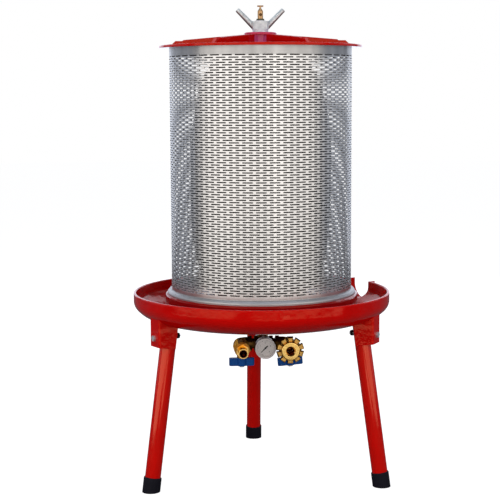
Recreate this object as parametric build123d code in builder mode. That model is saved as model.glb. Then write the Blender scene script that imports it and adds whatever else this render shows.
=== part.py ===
"""Bladder fruit press: a slotted steel basket on a red cast tray with three legs.

Water let into a rubber bladder round the central standpipe squeezes the fruit against the basket.
The origin is on the press axis at the floor, +Z is up and the valves face -Y. Units are millimetres.
"""
import os
from math import cos, radians, sin, sqrt, tan

from build123d import *

os.makedirs("parts", exist_ok=True)

# Fits and clearances
running_gap = 0.05
thread_gap = 0.05
face_gap = 0.3
hole_gap = 0.3

# Basket
basket_diameter = 350.0
basket_wall = 1.5
basket_height = 472.0
opening_columns = 24
opening_rows = 12
opening_web = 9.5
opening_strip = 21.0
opening_lowest = 15.0
opening_highest = 10.0
base_ring_flare = 8.5
base_ring_height = 8.5
base_ring_edge = 2.5
base_ring_collar = 2.0

# Tray casting
tray_diameter = 500.0
tray_clearance = 310.5
tray_wall = 5.0
bowl_depth_ratio = 0.6455
rim_height = 17.0
rim_round = 2.2
plateau_margin = 4.5
plateau_below_rim = 3.0
trough_floor = 7.0
trough_fillet = 4.0
tray_hub_radius = 30.0
tray_hub_depth = 15.0

# Pouring notch in the tray's rim
spout_azimuth = 30.0
spout_width = 61.0
spout_depth = 39.0
spout_wall = 4.5
spout_lip = 7.0

# Legs, sockets and feet
leg_names = ("back", "left", "right")
leg_first_azimuth = 90.0
leg_diameter = 30.0
leg_wall = 2.0
leg_splay = 8.31
foot_spread = 3.5
leg_top_drop = 2.5
foot_diameter = 34.0
foot_height = 28.0
foot_sole = 5.0
foot_round = 2.0
socket_length = 34.5
socket_wall = 2.4
socket_web = 3.0
socket_reach = 28.5
socket_grip = 7.0
socket_root = 1.5
socket_round = 4.0
bolt_diameter = 6.0
bolt_head_flats = 10.0
bolt_head_height = 4.0
bolt_drop = 18.0
bolt_tail = 2.0
nut_height = 5.0

# Standpipe and the nuts and plates on it
pipe_diameter = 21.3
pipe_bore = 16.0
pipe_above_nut = 1.5
water_hole = 8.0
lock_nut_flats = 32.0
lock_nut_height = 9.0
end_plug_length = 16.5

# Bladder
bladder_end_diameter = 224.0
bladder_middle_diameter = 260.0
bladder_wall = 4.0
bladder_corner = 16.0
bladder_neck_diameter = 60.0
bladder_top_room = 26.0
clamp_plate_diameter = 130.0
clamp_plate_thickness = 6.0

# Lid casting
lid_overhang = 20.0
lid_thickness = 5.0
lid_round = 1.8
lid_spigot_wall = 4.0
lid_spigot_depth = 8.0
lid_spigot_gap = 1.5
lid_turn = -4.0
hub_diameter = 34.0
hub_height = 25.0
hub_disc_diameter = 63.0
hub_disc_thickness = 5.0
hub_disc_round = 3.0
rib_count = 6
rib_thickness = 7.0
rib_round = 1.5
rib_toe_inset = 18.5
rib_shoulder_inset = 32.0
rib_step_inset = 48.0
rib_shoulder_height = 9.5
rib_step_rise = 2.0
rib_step_slope = 3.0

# Wing nut
washer_diameter = 30.5
washer_thickness = 5.0
wing_width = 30.0
wing_height = 16.0
wing_chamfer = 3.2
arm_diameter = 11.0
arm_tip_diameter = 9.0
arm_length = 42.0
arm_tilt = 45.5
arm_chamfer = 1.0

# Bleed cock
bleed_flats = 13.0
bleed_flange = 3.2
bleed_body_diameter = 10.4
bleed_body_height = 14.8
bleed_spigot_diameter = 9.0
bleed_spigot_length = 12.0
bleed_bore = 3.0
bleed_plug_diameter = 6.0
bleed_plug_depth = 12.0
bleed_port = 3.6
bleed_port_below = 7.0
bleed_cone_height = 5.0
bleed_stem_diameter = 3.4
bleed_stem_height = 4.0
bleed_bar_diameter = 3.0
bleed_bar_length = 11.5

# Pipework under the tray
pipework_drop = 44.5
fitting_radius = 12.5
collar_radius = 14.5
collar_length = 7.0
thread_depth = 9.0
flow_bore = 14.0
elbow_port = 22.0
elbow_bend = 13.0
cross_port = 18.0
cross_distance = 48.0
valve_offset = 45.0
run_diameter = 16.6
run_bore = 11.0
run_flats = 17.0
gauge_thread_diameter = 13.0

# Ball valves
valve_length = 50.0
valve_end_flats = 27.0
valve_barrel_radius = 14.6
valve_barrel_length = 30.0
ball_diameter = 21.0
ball_bore = 13.0
ball_slot_width = 4.0
ball_slot_depth = 3.0
seat_thickness = 3.0
seat_gap = 0.2
cavity_gap = 0.8
stem_diameter = 8.0
gland_boss_radius = 9.0
gland_boss_reach = 15.2
gland_nut_flats = 16.0
gland_nut_height = 3.0
handle_span = 48.0
handle_thickness = 9.0
handle_height = 15.5
handle_hub_radius = 9.5
handle_round = 2.0
handle_screw_diameter = 4.0
handle_screw_head = 8.0
handle_screw_head_height = 2.5
handle_screw_length = 9.0
inlet_tilt = 5.0

# Hose tail and coupling
tail_flats = 22.0
tail_hex_length = 5.0
tail_diameter = 18.6
tail_length = 32.0
coupling_disc_diameter = 35.0
coupling_disc_thickness = 7.0
coupling_neck_length = 9.0
coupling_bore = 13.0
coupling_ledge = 1.0
funnel_diameter = 19.0
funnel_depth = 3.0
ring_inner_diameter = 32.0
ring_outer_diameter = 48.0
ring_play = 0.2
lug_count = 10
lug_height = 3.5
lug_width = 8.5

# Pressure gauge
gauge_diameter = 38.0
gauge_depth = 26.0
gauge_back = 2.0
gauge_wall = 1.3
gauge_ledge = 0.7
gauge_stem_flats = 14.0
gauge_stem_length = 13.0
dial_thickness = 0.8
dial_depth = 7.2
lens_thickness = 1.5
bezel_wall = 0.8
bezel_lip = 1.5
needle_length = 12.5
needle_tail = 6.0
needle_width = 1.2
needle_thickness = 0.6
needle_lift = 1.2
needle_hub_diameter = 3.6
spindle_diameter = 1.6
spindle_depth = 5.0
needle_zero = 225.0
bourdon_radius = 11.0
bourdon_thickness = 2.0
bourdon_width = 5.0
bourdon_sweep = 270.0

# Levels and radii worked out from the values above
basket_radius = basket_diameter / 2
rim_radius = tray_diameter / 2
plateau_radius = basket_radius + base_ring_flare + plateau_margin
bowl_bottom_radius = plateau_radius + trough_floor
bowl_width = rim_radius - bowl_bottom_radius
bowl_drop = bowl_width * bowl_depth_ratio
bowl_top = tray_clearance + bowl_drop
rim_top = bowl_top + rim_height
plateau_top = rim_top - plateau_below_rim
basket_top = plateau_top + basket_height
lid_top = basket_top + lid_thickness
hub_top = basket_top + lid_thickness + hub_height
nut_seat = hub_top + washer_thickness
pipe_radius = pipe_diameter / 2
pipe_top = nut_seat + wing_height + pipe_above_nut
leg_radius = leg_diameter / 2
leg_azimuths = {name: leg_first_azimuth + 360 / len(leg_names) * k for k, name in enumerate(leg_names)}
foot_circle = rim_radius + foot_spread
female_radius = pipe_radius + thread_gap
passage_radius = pipe_radius + hole_gap
pipework_height = tray_clearance - pipework_drop
feed_top = pipework_height + elbow_port
pipe_bottom = feed_top - thread_depth + face_gap


def quarter_oval_radii(width, drop):
    """Side and bottom radii of a quarter oval made of two arcs that meet at 45 degrees."""
    k = cos(radians(45))
    side = (drop - width * (1 - k) / k) / (k - (1 - k) ** 2 / k)
    bottom = (width - (1 - k) * side) / k
    return side, bottom


bowl_side_radius, bowl_bottom_arc = quarter_oval_radii(bowl_width, bowl_drop)


def radial_plane(azimuth, radius=0.0, height=0.0):
    """Upright plane through the press axis: local x points outwards and local y up."""
    a = radians(azimuth)
    return Plane(
        origin=(radius * cos(a), radius * sin(a), height),
        x_dir=(cos(a), sin(a), 0),
        z_dir=(sin(a), -cos(a), 0),
    )


def outward_plane(azimuth, radius, height):
    """Plane square to a radius: its normal points outwards and local y up."""
    a = radians(azimuth)
    return Plane(
        origin=(radius * cos(a), radius * sin(a), height),
        x_dir=(-sin(a), cos(a), 0),
        z_dir=(cos(a), sin(a), 0),
    )


def leg_plane(azimuth):
    """Plane at the floor whose normal runs up the splayed leg."""
    a = radians(azimuth)
    s = radians(leg_splay)
    return Plane(
        origin=(foot_circle * cos(a), foot_circle * sin(a), 0),
        x_dir=(-sin(a), cos(a), 0),
        z_dir=(-sin(s) * cos(a), -sin(s) * sin(a), cos(s)),
    )


def leg_axis_radius(height):
    """Distance of a leg's centre line from the press axis at a height."""
    return foot_circle - height * tan(radians(leg_splay))


def finish(piece, label):
    """Labels a finished piece and writes it."""
    piece.part.label = label
    export_step(piece.part, f"parts/{label}.step")


# Leg sockets: an outer web and two cheeks that grip the leg to just past its centre line
socket_bottom = tray_clearance - socket_length
socket_outer = leg_axis_radius(socket_bottom) + socket_reach
socket_inner_top = leg_axis_radius(bowl_top) - socket_grip
socket_inner_bottom = leg_axis_radius(socket_bottom) - socket_grip
socket_half_width = leg_radius + running_gap + socket_wall
socket_heel_drop = (socket_outer - socket_inner_bottom) * tan(radians(leg_splay))
bolt_height = tray_clearance - bolt_drop

# Base tray: bowl, plateau, hub, sockets and pouring lip in one casting
with BuildPart() as base_tray:
    for azimuth in leg_azimuths.values():
        with BuildSketch(radial_plane(azimuth)):
            with BuildLine():
                Polyline(
                    (socket_inner_bottom, socket_bottom - socket_heel_drop),
                    (socket_outer, socket_bottom),
                    (socket_outer, bowl_top),
                    (socket_inner_top, bowl_top),
                    close=True,
                )
            make_face()
        extrude(amount=socket_half_width, both=True)
    upright_edges = base_tray.edges().filter_by(Axis.Z).sort_by_distance((0, 0, bowl_top))
    fillet(upright_edges[-2 * len(leg_azimuths) :], socket_round)
    for azimuth in leg_azimuths.values():
        with BuildSketch(radial_plane(azimuth)):
            with BuildLine():
                Polyline(
                    (socket_inner_top - leg_diameter, socket_bottom - leg_diameter),
                    (socket_outer - socket_web, socket_bottom - leg_diameter),
                    (socket_outer - socket_web, bowl_top),
                    (socket_inner_top - leg_diameter, bowl_top),
                    close=True,
                )
            make_face()
        extrude(amount=leg_radius + running_gap, both=True, mode=Mode.SUBTRACT)
        with BuildSketch(outward_plane(azimuth, socket_outer, bolt_height)):
            Circle(bolt_diameter / 2 + hole_gap)
        extrude(amount=-socket_web, mode=Mode.SUBTRACT)
    spout_radius = spout_width / 2
    spout_centre = rim_top - spout_depth + spout_radius
    spout_start = rim_radius - bowl_width / 2
    with BuildSketch(outward_plane(spout_azimuth, spout_start, spout_centre)):
        Circle(spout_radius + spout_wall)
        with Locations((0, (rim_top - spout_centre) / 2)):
            Rectangle(2 * (spout_radius + spout_wall), rim_top - spout_centre)
        with Locations((0, rim_top - spout_centre)):
            Rectangle(
                2 * tray_diameter, 2 * spout_radius, align=(Align.CENTER, Align.MIN), mode=Mode.SUBTRACT
            )
    extrude(amount=rim_radius + spout_lip - spout_start)
    with BuildSketch(Plane.XZ):
        with BuildLine():
            Line((0, tray_clearance + socket_root), (bowl_bottom_radius, tray_clearance + socket_root))
            CenterArc(
                (bowl_bottom_radius, tray_clearance + bowl_bottom_arc), bowl_bottom_arc - socket_root, -90, 45
            )
            CenterArc(
                (rim_radius - bowl_side_radius, bowl_top), bowl_side_radius - socket_root, -45, 45
            )
            Polyline(
                (rim_radius - socket_root, bowl_top),
                (rim_radius - socket_root, rim_top + rim_height),
                (0, rim_top + rim_height),
                (0, tray_clearance + socket_root),
            )
        make_face()
    revolve(axis=Axis.Z, mode=Mode.SUBTRACT)
    with BuildSketch(Plane.XZ) as tray_section:
        with BuildLine():
            Line((plateau_radius - tray_wall, tray_clearance), (bowl_bottom_radius, tray_clearance))
            CenterArc((bowl_bottom_radius, tray_clearance + bowl_bottom_arc), bowl_bottom_arc, -90, 45)
            CenterArc((rim_radius - bowl_side_radius, bowl_top), bowl_side_radius, -45, 45)
            Polyline(
                (rim_radius, bowl_top),
                (rim_radius, rim_top),
                (rim_radius - tray_wall, rim_top),
                (rim_radius - tray_wall, bowl_top),
            )
            CenterArc((rim_radius - bowl_side_radius, bowl_top), bowl_side_radius - tray_wall, 0, -45)
            CenterArc(
                (bowl_bottom_radius, tray_clearance + bowl_bottom_arc), bowl_bottom_arc - tray_wall, -45, -45
            )
            Polyline(
                (bowl_bottom_radius, tray_clearance + tray_wall),
                (plateau_radius, tray_clearance + tray_wall),
                (plateau_radius, plateau_top),
                (passage_radius, plateau_top),
                (passage_radius, plateau_top - tray_hub_depth),
                (tray_hub_radius, plateau_top - tray_hub_depth),
                (tray_hub_radius, plateau_top - tray_wall),
                (plateau_radius - tray_wall, plateau_top - tray_wall),
                (plateau_radius - tray_wall, tray_clearance),
            )
        make_face()
        rim_corners = tray_section.vertices().group_by(Axis.Y)[-1]
        fillet(rim_corners, rim_round)
        plateau_corners = [v for v in tray_section.vertices() if abs(v.X - plateau_radius) < rim_round / 2]
        fillet(plateau_corners, trough_fillet)
    revolve(axis=Axis.Z)
    with BuildSketch(outward_plane(spout_azimuth, spout_start, spout_centre)):
        Circle(spout_radius)
        with Locations((0, spout_radius)):
            Rectangle(spout_width, spout_width)
    extrude(amount=rim_radius, mode=Mode.SUBTRACT)
finish(base_tray, "base_tray")

# Legs: splayed tubes, cross-drilled for the socket bolts
leg_start = foot_sole
leg_top = tray_clearance - leg_top_drop
leg_length = leg_top / cos(radians(leg_splay)) - leg_start
for name, azimuth in leg_azimuths.items():
    with BuildPart() as leg:
        with BuildSketch(leg_plane(azimuth).offset(leg_start)):
            Circle(leg_radius)
            Circle(leg_radius - leg_wall, mode=Mode.SUBTRACT)
        extrude(amount=leg_length)
        with BuildSketch(outward_plane(azimuth, leg_axis_radius(bolt_height), bolt_height)):
            Circle(bolt_diameter / 2 + hole_gap)
        extrude(amount=leg_diameter, both=True, mode=Mode.SUBTRACT)
    finish(leg, f"leg_{name}")

    with BuildPart() as foot:
        foot_low = leg_plane(azimuth).offset(-foot_sole)
        with BuildSketch(foot_low):
            Circle(foot_diameter / 2)
        extrude(amount=foot_height + foot_sole)
        fillet(foot.edges().sort_by(Axis.Z)[-1], foot_round)
        with BuildSketch(leg_plane(azimuth).offset(leg_start)):
            Circle(leg_radius + thread_gap)
        extrude(amount=foot_height, mode=Mode.SUBTRACT)
        with BuildSketch(Plane.XY):
            Circle(2 * foot_circle)
        extrude(amount=-2 * foot_diameter, mode=Mode.SUBTRACT)
    finish(foot, f"foot_{name}")

# Leg bolts run through web and tube, with a nut on the inner side
nut_face = leg_axis_radius(bolt_height) - leg_radius - bolt_head_flats * tan(radians(leg_splay))
bolt_end = nut_face - nut_height - bolt_tail
with BuildPart() as leg_bolts:
    for azimuth in leg_azimuths.values():
        with BuildSketch(outward_plane(azimuth, socket_outer, bolt_height)):
            RegularPolygon(bolt_head_flats / 2, 6, major_radius=False)
        extrude(amount=bolt_head_height)
        with BuildSketch(outward_plane(azimuth, bolt_end, bolt_height)):
            Circle(bolt_diameter / 2)
        extrude(amount=socket_outer - bolt_end)
finish(leg_bolts, "leg_bolts")

with BuildPart() as leg_nuts:
    for azimuth in leg_azimuths.values():
        with BuildSketch(outward_plane(azimuth, nut_face, bolt_height)):
            RegularPolygon(bolt_head_flats / 2, 6, major_radius=False)
            Circle(bolt_diameter / 2 + thread_gap, mode=Mode.SUBTRACT)
        extrude(amount=-nut_height)
finish(leg_nuts, "leg_nuts")


def pipe_nut(label, bottom, flats=lock_nut_flats, height=lock_nut_height):
    """Hexagon nut on the standpipe."""
    with BuildPart() as nut:
        with BuildSketch(Plane.XY.offset(bottom)):
            RegularPolygon(flats / 2, 6, major_radius=False)
            Circle(female_radius, mode=Mode.SUBTRACT)
        extrude(amount=height)
    finish(nut, label)


def pipe_plate(label, bottom, diameter, height):
    """Round plate on the standpipe."""
    with BuildPart() as plate:
        with BuildSketch(Plane.XY.offset(bottom)):
            Circle(diameter / 2)
            Circle(female_radius, mode=Mode.SUBTRACT)
        extrude(amount=height)
    finish(plate, label)


# Bladder levels: base plate on the plateau, rubber, clamp ring and nut inside, top plate and nut above
bladder_bottom = plateau_top + clamp_plate_thickness
bladder_top = basket_top - bladder_top_room - clamp_plate_thickness
inner_clamp_diameter = clamp_plate_diameter - 2 * bladder_corner

# Standpipe: carries the bladder and the lid's pull, drilled to let water into the bladder
with BuildPart() as standpipe:
    with BuildSketch(Plane.XY.offset(pipe_bottom)):
        Circle(pipe_radius)
        Circle(pipe_bore / 2, mode=Mode.SUBTRACT)
    extrude(amount=pipe_top - pipe_bottom)
    for share in (0.25, 0.5, 0.75):
        with BuildSketch(Plane.XZ):
            with Locations((0, bladder_bottom + share * (bladder_top - bladder_bottom))):
                Circle(water_hole / 2)
        extrude(amount=pipe_diameter, both=True, mode=Mode.SUBTRACT)
finish(standpipe, "standpipe")

pipe_nut("tray_lock_nut", plateau_top - tray_hub_depth - lock_nut_height)
pipe_nut("feed_lock_nut", feed_top)
pipe_plate("bladder_base_plate", plateau_top, clamp_plate_diameter, clamp_plate_thickness)
pipe_plate(
    "bladder_lower_clamp", bladder_bottom + bladder_wall, inner_clamp_diameter, clamp_plate_thickness
)
pipe_nut("bladder_lower_nut", bladder_bottom + bladder_wall + clamp_plate_thickness)
pipe_plate(
    "bladder_upper_clamp",
    bladder_top - bladder_wall - clamp_plate_thickness,
    inner_clamp_diameter,
    clamp_plate_thickness,
)
pipe_plate("bladder_top_plate", bladder_top, clamp_plate_diameter, clamp_plate_thickness)
pipe_nut("bladder_top_nut", bladder_top + clamp_plate_thickness)

# Bladder: barrel-shaped rubber sleeve, drawn in at both ends to flat clamped collars
bladder_middle = (bladder_bottom + bladder_top) / 2
with BuildPart() as bladder:
    with BuildSketch(Plane.XZ) as bladder_section:
        with BuildLine():
            neck = bladder_neck_diameter / 2
            end = bladder_end_diameter / 2
            belly = bladder_middle_diameter / 2
            low = bladder_bottom
            high = bladder_top
            Polyline(
                (end, high),
                (neck, high),
                (neck, high - bladder_wall),
                (end - bladder_wall, high - bladder_wall),
            )
            ThreePointArc(
                (end - bladder_wall, high - bladder_wall),
                (belly - bladder_wall, bladder_middle),
                (end - bladder_wall, low + bladder_wall),
            )
            Polyline(
                (end - bladder_wall, low + bladder_wall),
                (neck, low + bladder_wall),
                (neck, low),
                (end, low),
            )
            ThreePointArc((end, low), (belly, bladder_middle), (end, high))
        make_face()
        corners = bladder_section.vertices()
        outer_corners = [v for v in corners if abs(v.X - end) < bladder_wall / 4]
        inner_corners = [v for v in corners if abs(v.X - end + bladder_wall) < bladder_wall / 4]
        fillet(outer_corners, bladder_corner)
        fillet(inner_corners, bladder_corner - bladder_wall)
    revolve(axis=Axis.Z)
finish(bladder, "bladder")

# Basket: rolled stainless sheet; staggered rows of large openings stand for its many fine slots
opening_pitch = 360 / opening_columns
opening_length = radians(opening_pitch) * basket_radius - opening_web
row_pitch = (basket_height - opening_lowest - opening_highest) / opening_rows
lowest_row = plateau_top + opening_lowest + row_pitch / 2
row_middles = [(0, 0, lowest_row + row * row_pitch) for row in range(opening_rows)]
with BuildPart() as basket_shell:
    with BuildSketch(Plane.XY.offset(plateau_top)):
        Circle(basket_radius)
        Circle(basket_radius - basket_wall, mode=Mode.SUBTRACT)
    extrude(amount=basket_height)
    for stagger in (0, 1):
        with Locations(*row_middles[stagger::2]):
            with PolarLocations(basket_radius, opening_columns, opening_pitch / 2 * stagger):
                Box(4 * basket_wall, opening_length, row_pitch - opening_strip, mode=Mode.SUBTRACT)
finish(basket_shell, "basket_shell")

# Base ring: flared foot welded round the basket's lower edge
with BuildPart() as basket_base_ring:
    with BuildSketch(Plane.XZ):
        with BuildLine():
            ring_out = basket_radius + base_ring_flare
            ring_top = plateau_top + base_ring_height
            Polyline(
                (basket_radius + base_ring_collar, ring_top),
                (basket_radius, ring_top),
                (basket_radius, plateau_top),
                (ring_out, plateau_top),
                (ring_out, plateau_top + base_ring_edge),
            )
            RadiusArc(
                (ring_out, plateau_top + base_ring_edge),
                (basket_radius + base_ring_collar, ring_top),
                -base_ring_height,
            )
        make_face()
    revolve(axis=Axis.Z)
finish(basket_base_ring, "basket_base_ring")

# Lid: flat plate with a spigot inside the basket, hub, hub disc and radial ribs
lid_radius = basket_radius + lid_overhang
spigot_radius = basket_radius - basket_wall - lid_spigot_gap
hub_radius = hub_diameter / 2
hub_disc_radius = hub_disc_diameter / 2
hub_disc_bottom = hub_top - hub_disc_thickness
rib_root = lid_thickness / 2
with BuildPart() as lid:
    with BuildSketch(Plane.XZ) as lid_section:
        with BuildLine():
            Polyline(
                (passage_radius, basket_top),
                (spigot_radius - lid_spigot_wall, basket_top),
                (spigot_radius - lid_spigot_wall, basket_top - lid_spigot_depth),
                (spigot_radius, basket_top - lid_spigot_depth),
                (spigot_radius, basket_top),
                (lid_radius, basket_top),
                (lid_radius, lid_top),
                (hub_radius, lid_top),
                (hub_radius, hub_disc_bottom),
                (hub_disc_radius, hub_disc_bottom),
                (hub_disc_radius, hub_top),
                (passage_radius, hub_top),
                close=True,
            )
        make_face()
        edge_corners = lid_section.vertices().group_by(Axis.X)[-1]
        fillet(edge_corners, lid_round)
        disc_corner = lid_section.vertices().group_by(Axis.Y)[-1].sort_by(Axis.X)[-1]
        fillet(disc_corner, hub_disc_round)
    revolve(axis=Axis.Z)
    for k in range(rib_count):
        rib_azimuth = lid_turn + 360 / rib_count * k
        with BuildSketch(radial_plane(rib_azimuth)):
            with BuildLine():
                Polyline(
                    (hub_radius - rib_root, lid_top - rib_root),
                    (lid_radius - rib_toe_inset, lid_top - rib_root),
                    (lid_radius - rib_shoulder_inset, lid_top + rib_shoulder_height),
                    (lid_radius - rib_step_inset + rib_step_slope, lid_top + rib_shoulder_height),
                    (lid_radius - rib_step_inset, lid_top + rib_shoulder_height + rib_step_rise),
                    (hub_disc_radius, hub_disc_bottom + rib_root / 2),
                    (hub_radius - rib_root, hub_disc_bottom + rib_root / 2),
                    close=True,
                )
            make_face()
        rib = extrude(amount=rib_thickness / 2, both=True, mode=Mode.PRIVATE)
        rib_edges = rib.edges().filter_by(GeomType.LINE).sort_by(Edge.length)
        crest_edges = [e for e in rib_edges[-4:] if e.center().Z > lid_top]
        add(rib.fillet(rib_round, crest_edges))
finish(lid, "lid")

# Thrust washer under the wing nut
with BuildPart() as thrust_washer:
    with BuildSketch(Plane.XY.offset(hub_top)):
        Circle(washer_diameter / 2)
        Circle(passage_radius, mode=Mode.SUBTRACT)
    extrude(amount=washer_thickness)
finish(thrust_washer, "thrust_washer")

# Wing nut: square block with chamfered corners, and two tapered round arms welded on its sides
with BuildPart() as wing_nut:
    with BuildSketch(Plane.XY.offset(nut_seat)) as wing_section:
        Rectangle(wing_width, wing_width)
        chamfer(wing_section.vertices(), wing_chamfer)
        Circle(female_radius, mode=Mode.SUBTRACT)
    extrude(amount=wing_height)
finish(wing_nut, "wing_nut")

with BuildPart() as wing_arms:
    for side in (-1, 1):
        tilt = radians(arm_tilt)
        arm_way = (side * cos(tilt), 0, sin(tilt))
        arm_root = (side * wing_width / 2, 0, nut_seat + wing_height / 2)
        with BuildSketch(Plane(origin=arm_root, x_dir=arm_way, z_dir=(0, -1, 0))):
            with BuildLine():
                Polyline(
                    (-arm_diameter, 0),
                    (arm_length, 0),
                    (arm_length, arm_tip_diameter / 2 - arm_chamfer),
                    (arm_length - arm_chamfer, arm_tip_diameter / 2),
                    (0, arm_diameter / 2),
                    (-arm_diameter, arm_diameter / 2),
                    close=True,
                )
            make_face()
        revolve(axis=Axis(arm_root, arm_way))
    with BuildSketch(Plane.XY.offset(nut_seat - wing_height)):
        Rectangle(wing_width, 2 * wing_width)
    extrude(amount=3 * wing_height, mode=Mode.SUBTRACT)
finish(wing_arms, "wing_arms")

# End plug: closes the standpipe and takes the bleed cock
with BuildPart() as pipe_end_plug:
    with BuildSketch(Plane.XY.offset(pipe_top - end_plug_length)):
        Circle(pipe_bore / 2 - thread_gap)
        Circle(bleed_spigot_diameter / 2 + thread_gap, mode=Mode.SUBTRACT)
    extrude(amount=end_plug_length)
finish(pipe_end_plug, "pipe_end_plug")

# Bleed cock body: hexagon flange, spigot below, side port in front
bleed_shoulder = pipe_top + bleed_flange
bleed_top = bleed_shoulder + bleed_body_height
bleed_floor = bleed_top - bleed_plug_depth
with BuildPart() as bleed_body:
    with BuildSketch(Plane.XY.offset(pipe_top)):
        RegularPolygon(bleed_flats / 2, 6, major_radius=False)
    extrude(amount=bleed_flange)
    with BuildSketch(Plane.XY.offset(bleed_shoulder)):
        Circle(bleed_body_diameter / 2)
    extrude(amount=bleed_body_height)
    with BuildSketch(Plane.XY.offset(pipe_top - bleed_spigot_length)):
        Circle(bleed_spigot_diameter / 2)
    extrude(amount=bleed_spigot_length)
    with BuildSketch(Plane.XY.offset(pipe_top - bleed_spigot_length)):
        Circle(bleed_bore / 2)
    extrude(amount=bleed_floor + bleed_spigot_length - pipe_top, mode=Mode.SUBTRACT)
    with BuildSketch(Plane.XY.offset(bleed_floor)):
        Circle(bleed_plug_diameter / 2 + running_gap)
    extrude(amount=bleed_plug_depth, mode=Mode.SUBTRACT)
    with BuildSketch(Plane.XZ):
        with Locations((0, bleed_top - bleed_port_below)):
            Circle(bleed_port / 2)
    extrude(amount=bleed_body_diameter, mode=Mode.SUBTRACT)
finish(bleed_body, "bleed_body")

# Bleed plug: turning plug, cone and T bar
with BuildPart() as bleed_plug:
    with BuildSketch(Plane.XY.offset(bleed_floor + face_gap)):
        Circle(bleed_plug_diameter / 2)
    extrude(amount=bleed_plug_depth)
    cone_bottom = bleed_top + face_gap
    cone_top = cone_bottom + bleed_cone_height
    with BuildSketch(Plane.XZ):
        with BuildLine():
            Polyline(
                (0, cone_bottom),
                (bleed_body_diameter / 2 - face_gap, cone_bottom),
                (bleed_stem_diameter / 2, cone_top),
                (bleed_stem_diameter / 2, cone_top + bleed_stem_height),
                (0, cone_top + bleed_stem_height),
                close=True,
            )
        make_face()
    revolve(axis=Axis.Z)
    with BuildSketch(Plane.YZ.offset(-bleed_bar_length / 2)):
        with Locations((0, cone_top + bleed_stem_height)):
            Circle(bleed_bar_diameter / 2)
    extrude(amount=bleed_bar_length)
    with BuildSketch(Plane.XZ):
        with Locations((0, bleed_top - bleed_port_below)):
            Circle(bleed_bore / 2 - running_gap)
    extrude(amount=bleed_plug_diameter, both=True, mode=Mode.SUBTRACT)
finish(bleed_plug, "bleed_plug")


def bored_run(plane, reach, bore, thread_radius):
    """Cuts a flow passage from the plane's origin to a port, with a female thread at the port."""
    with BuildSketch(plane) as passage:
        Circle(bore / 2)
    extrude(passage.sketch, amount=reach, mode=Mode.SUBTRACT)
    with BuildSketch(plane.offset(reach - thread_depth)) as thread:
        Circle(thread_radius)
    extrude(thread.sketch, amount=thread_depth, mode=Mode.SUBTRACT)


def solid_run(plane, reach, start=0.0):
    """Adds a round arm along the plane's normal up to a port, with a collar at the port."""
    with BuildSketch(plane.offset(start)) as arm:
        Circle(fitting_radius)
    extrude(arm.sketch, amount=reach - start)
    with BuildSketch(plane.offset(reach - collar_length)) as collar:
        Circle(collar_radius)
    extrude(collar.sketch, amount=collar_length)


def run_plane(x, y, direction):
    """Plane on the pipework's level at (x, y), facing along a direction."""
    return Plane(origin=(x, y, pipework_height), z_dir=direction)


left_way = (-1, 0, 0)
right_way = (1, 0, 0)
front_way = (0, -1, 0)
rear_way = (0, 1, 0)
up_way = (0, 0, 1)
run_female = run_diameter / 2 + thread_gap
cross_y = -cross_distance


def elbow(label, x, y, first_way, first_bore, first_thread, second_way=front_way):
    """Elbow with a round knuckle and two collared female ports, the second of pipe size."""
    corner = Vector(x, y, pipework_height)
    one = Vector(*first_way)
    two = Vector(*second_way)
    with BuildPart() as bend:
        with BuildSketch(run_plane(x, y, first_way).offset(elbow_bend)):
            Circle(fitting_radius)
        revolve(axis=Axis(corner + (one + two) * elbow_bend, two.cross(one)), revolution_arc=90)
        solid_run(run_plane(x, y, first_way), elbow_port, elbow_bend)
        solid_run(run_plane(x, y, second_way), elbow_port, elbow_bend)
        bored_run(run_plane(x, y, first_way), elbow_port, first_bore, first_thread)
        bored_run(run_plane(x, y, second_way), elbow_port, flow_bore, female_radius)
    finish(bend, label)


# Supply elbow takes the standpipe from above; the end elbows turn the cross arms to the front
elbow("supply_elbow", 0, 0, up_way, flow_bore, female_radius)
elbow("elbow_left", -valve_offset, cross_y, right_way, run_bore, run_female)
elbow("elbow_right", valve_offset, cross_y, left_way, run_bore, run_female)
valve_inlet = cross_y - elbow_port

# Cross: feed from the rear, an arm to each valve and the gauge in front
gauge_port_radius = gauge_thread_diameter / 2 + thread_gap
with BuildPart() as manifold_cross:
    for way in (rear_way, left_way, right_way, front_way):
        solid_run(run_plane(0, cross_y, way), cross_port)
    bored_run(run_plane(0, cross_y, rear_way), cross_port, flow_bore, female_radius)
    for way in (left_way, right_way):
        bored_run(run_plane(0, cross_y, way), cross_port, run_bore, run_female)
    bored_run(run_plane(0, cross_y, front_way), cross_port, gauge_port_radius, gauge_port_radius)
finish(manifold_cross, "manifold_cross")


def hex_nipple(label, plane, gap, diameter, bore, flats):
    """Nipple with a hexagon that fills the gap between two female ports."""
    with BuildPart() as nipple:
        with BuildSketch(plane.offset(-thread_depth + face_gap)):
            Circle(diameter / 2)
        extrude(amount=gap + 2 * (thread_depth - face_gap))
        with BuildSketch(plane):
            RegularPolygon(flats / 2, 6, major_radius=False)
        extrude(amount=gap)
        with BuildSketch(plane.offset(-thread_depth)):
            Circle(bore / 2)
        extrude(amount=gap + 2 * thread_depth, mode=Mode.SUBTRACT)
    finish(nipple, label)


feed_gap = cross_distance - elbow_port - cross_port
run_gap = valve_offset - elbow_port - cross_port
feed_flats = 2 * fitting_radius
run_start = run_plane(-cross_port, cross_y, left_way)
feed_start = run_plane(0, -elbow_port, front_way)
hex_nipple("feed_nipple", feed_start, feed_gap, pipe_diameter, flow_bore, feed_flats)
hex_nipple("run_nipple_left", run_start, run_gap, run_diameter, run_bore, run_flats)
run_start = run_plane(cross_port, cross_y, right_way)
hex_nipple("run_nipple_right", run_start, run_gap, run_diameter, run_bore, run_flats)

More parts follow.
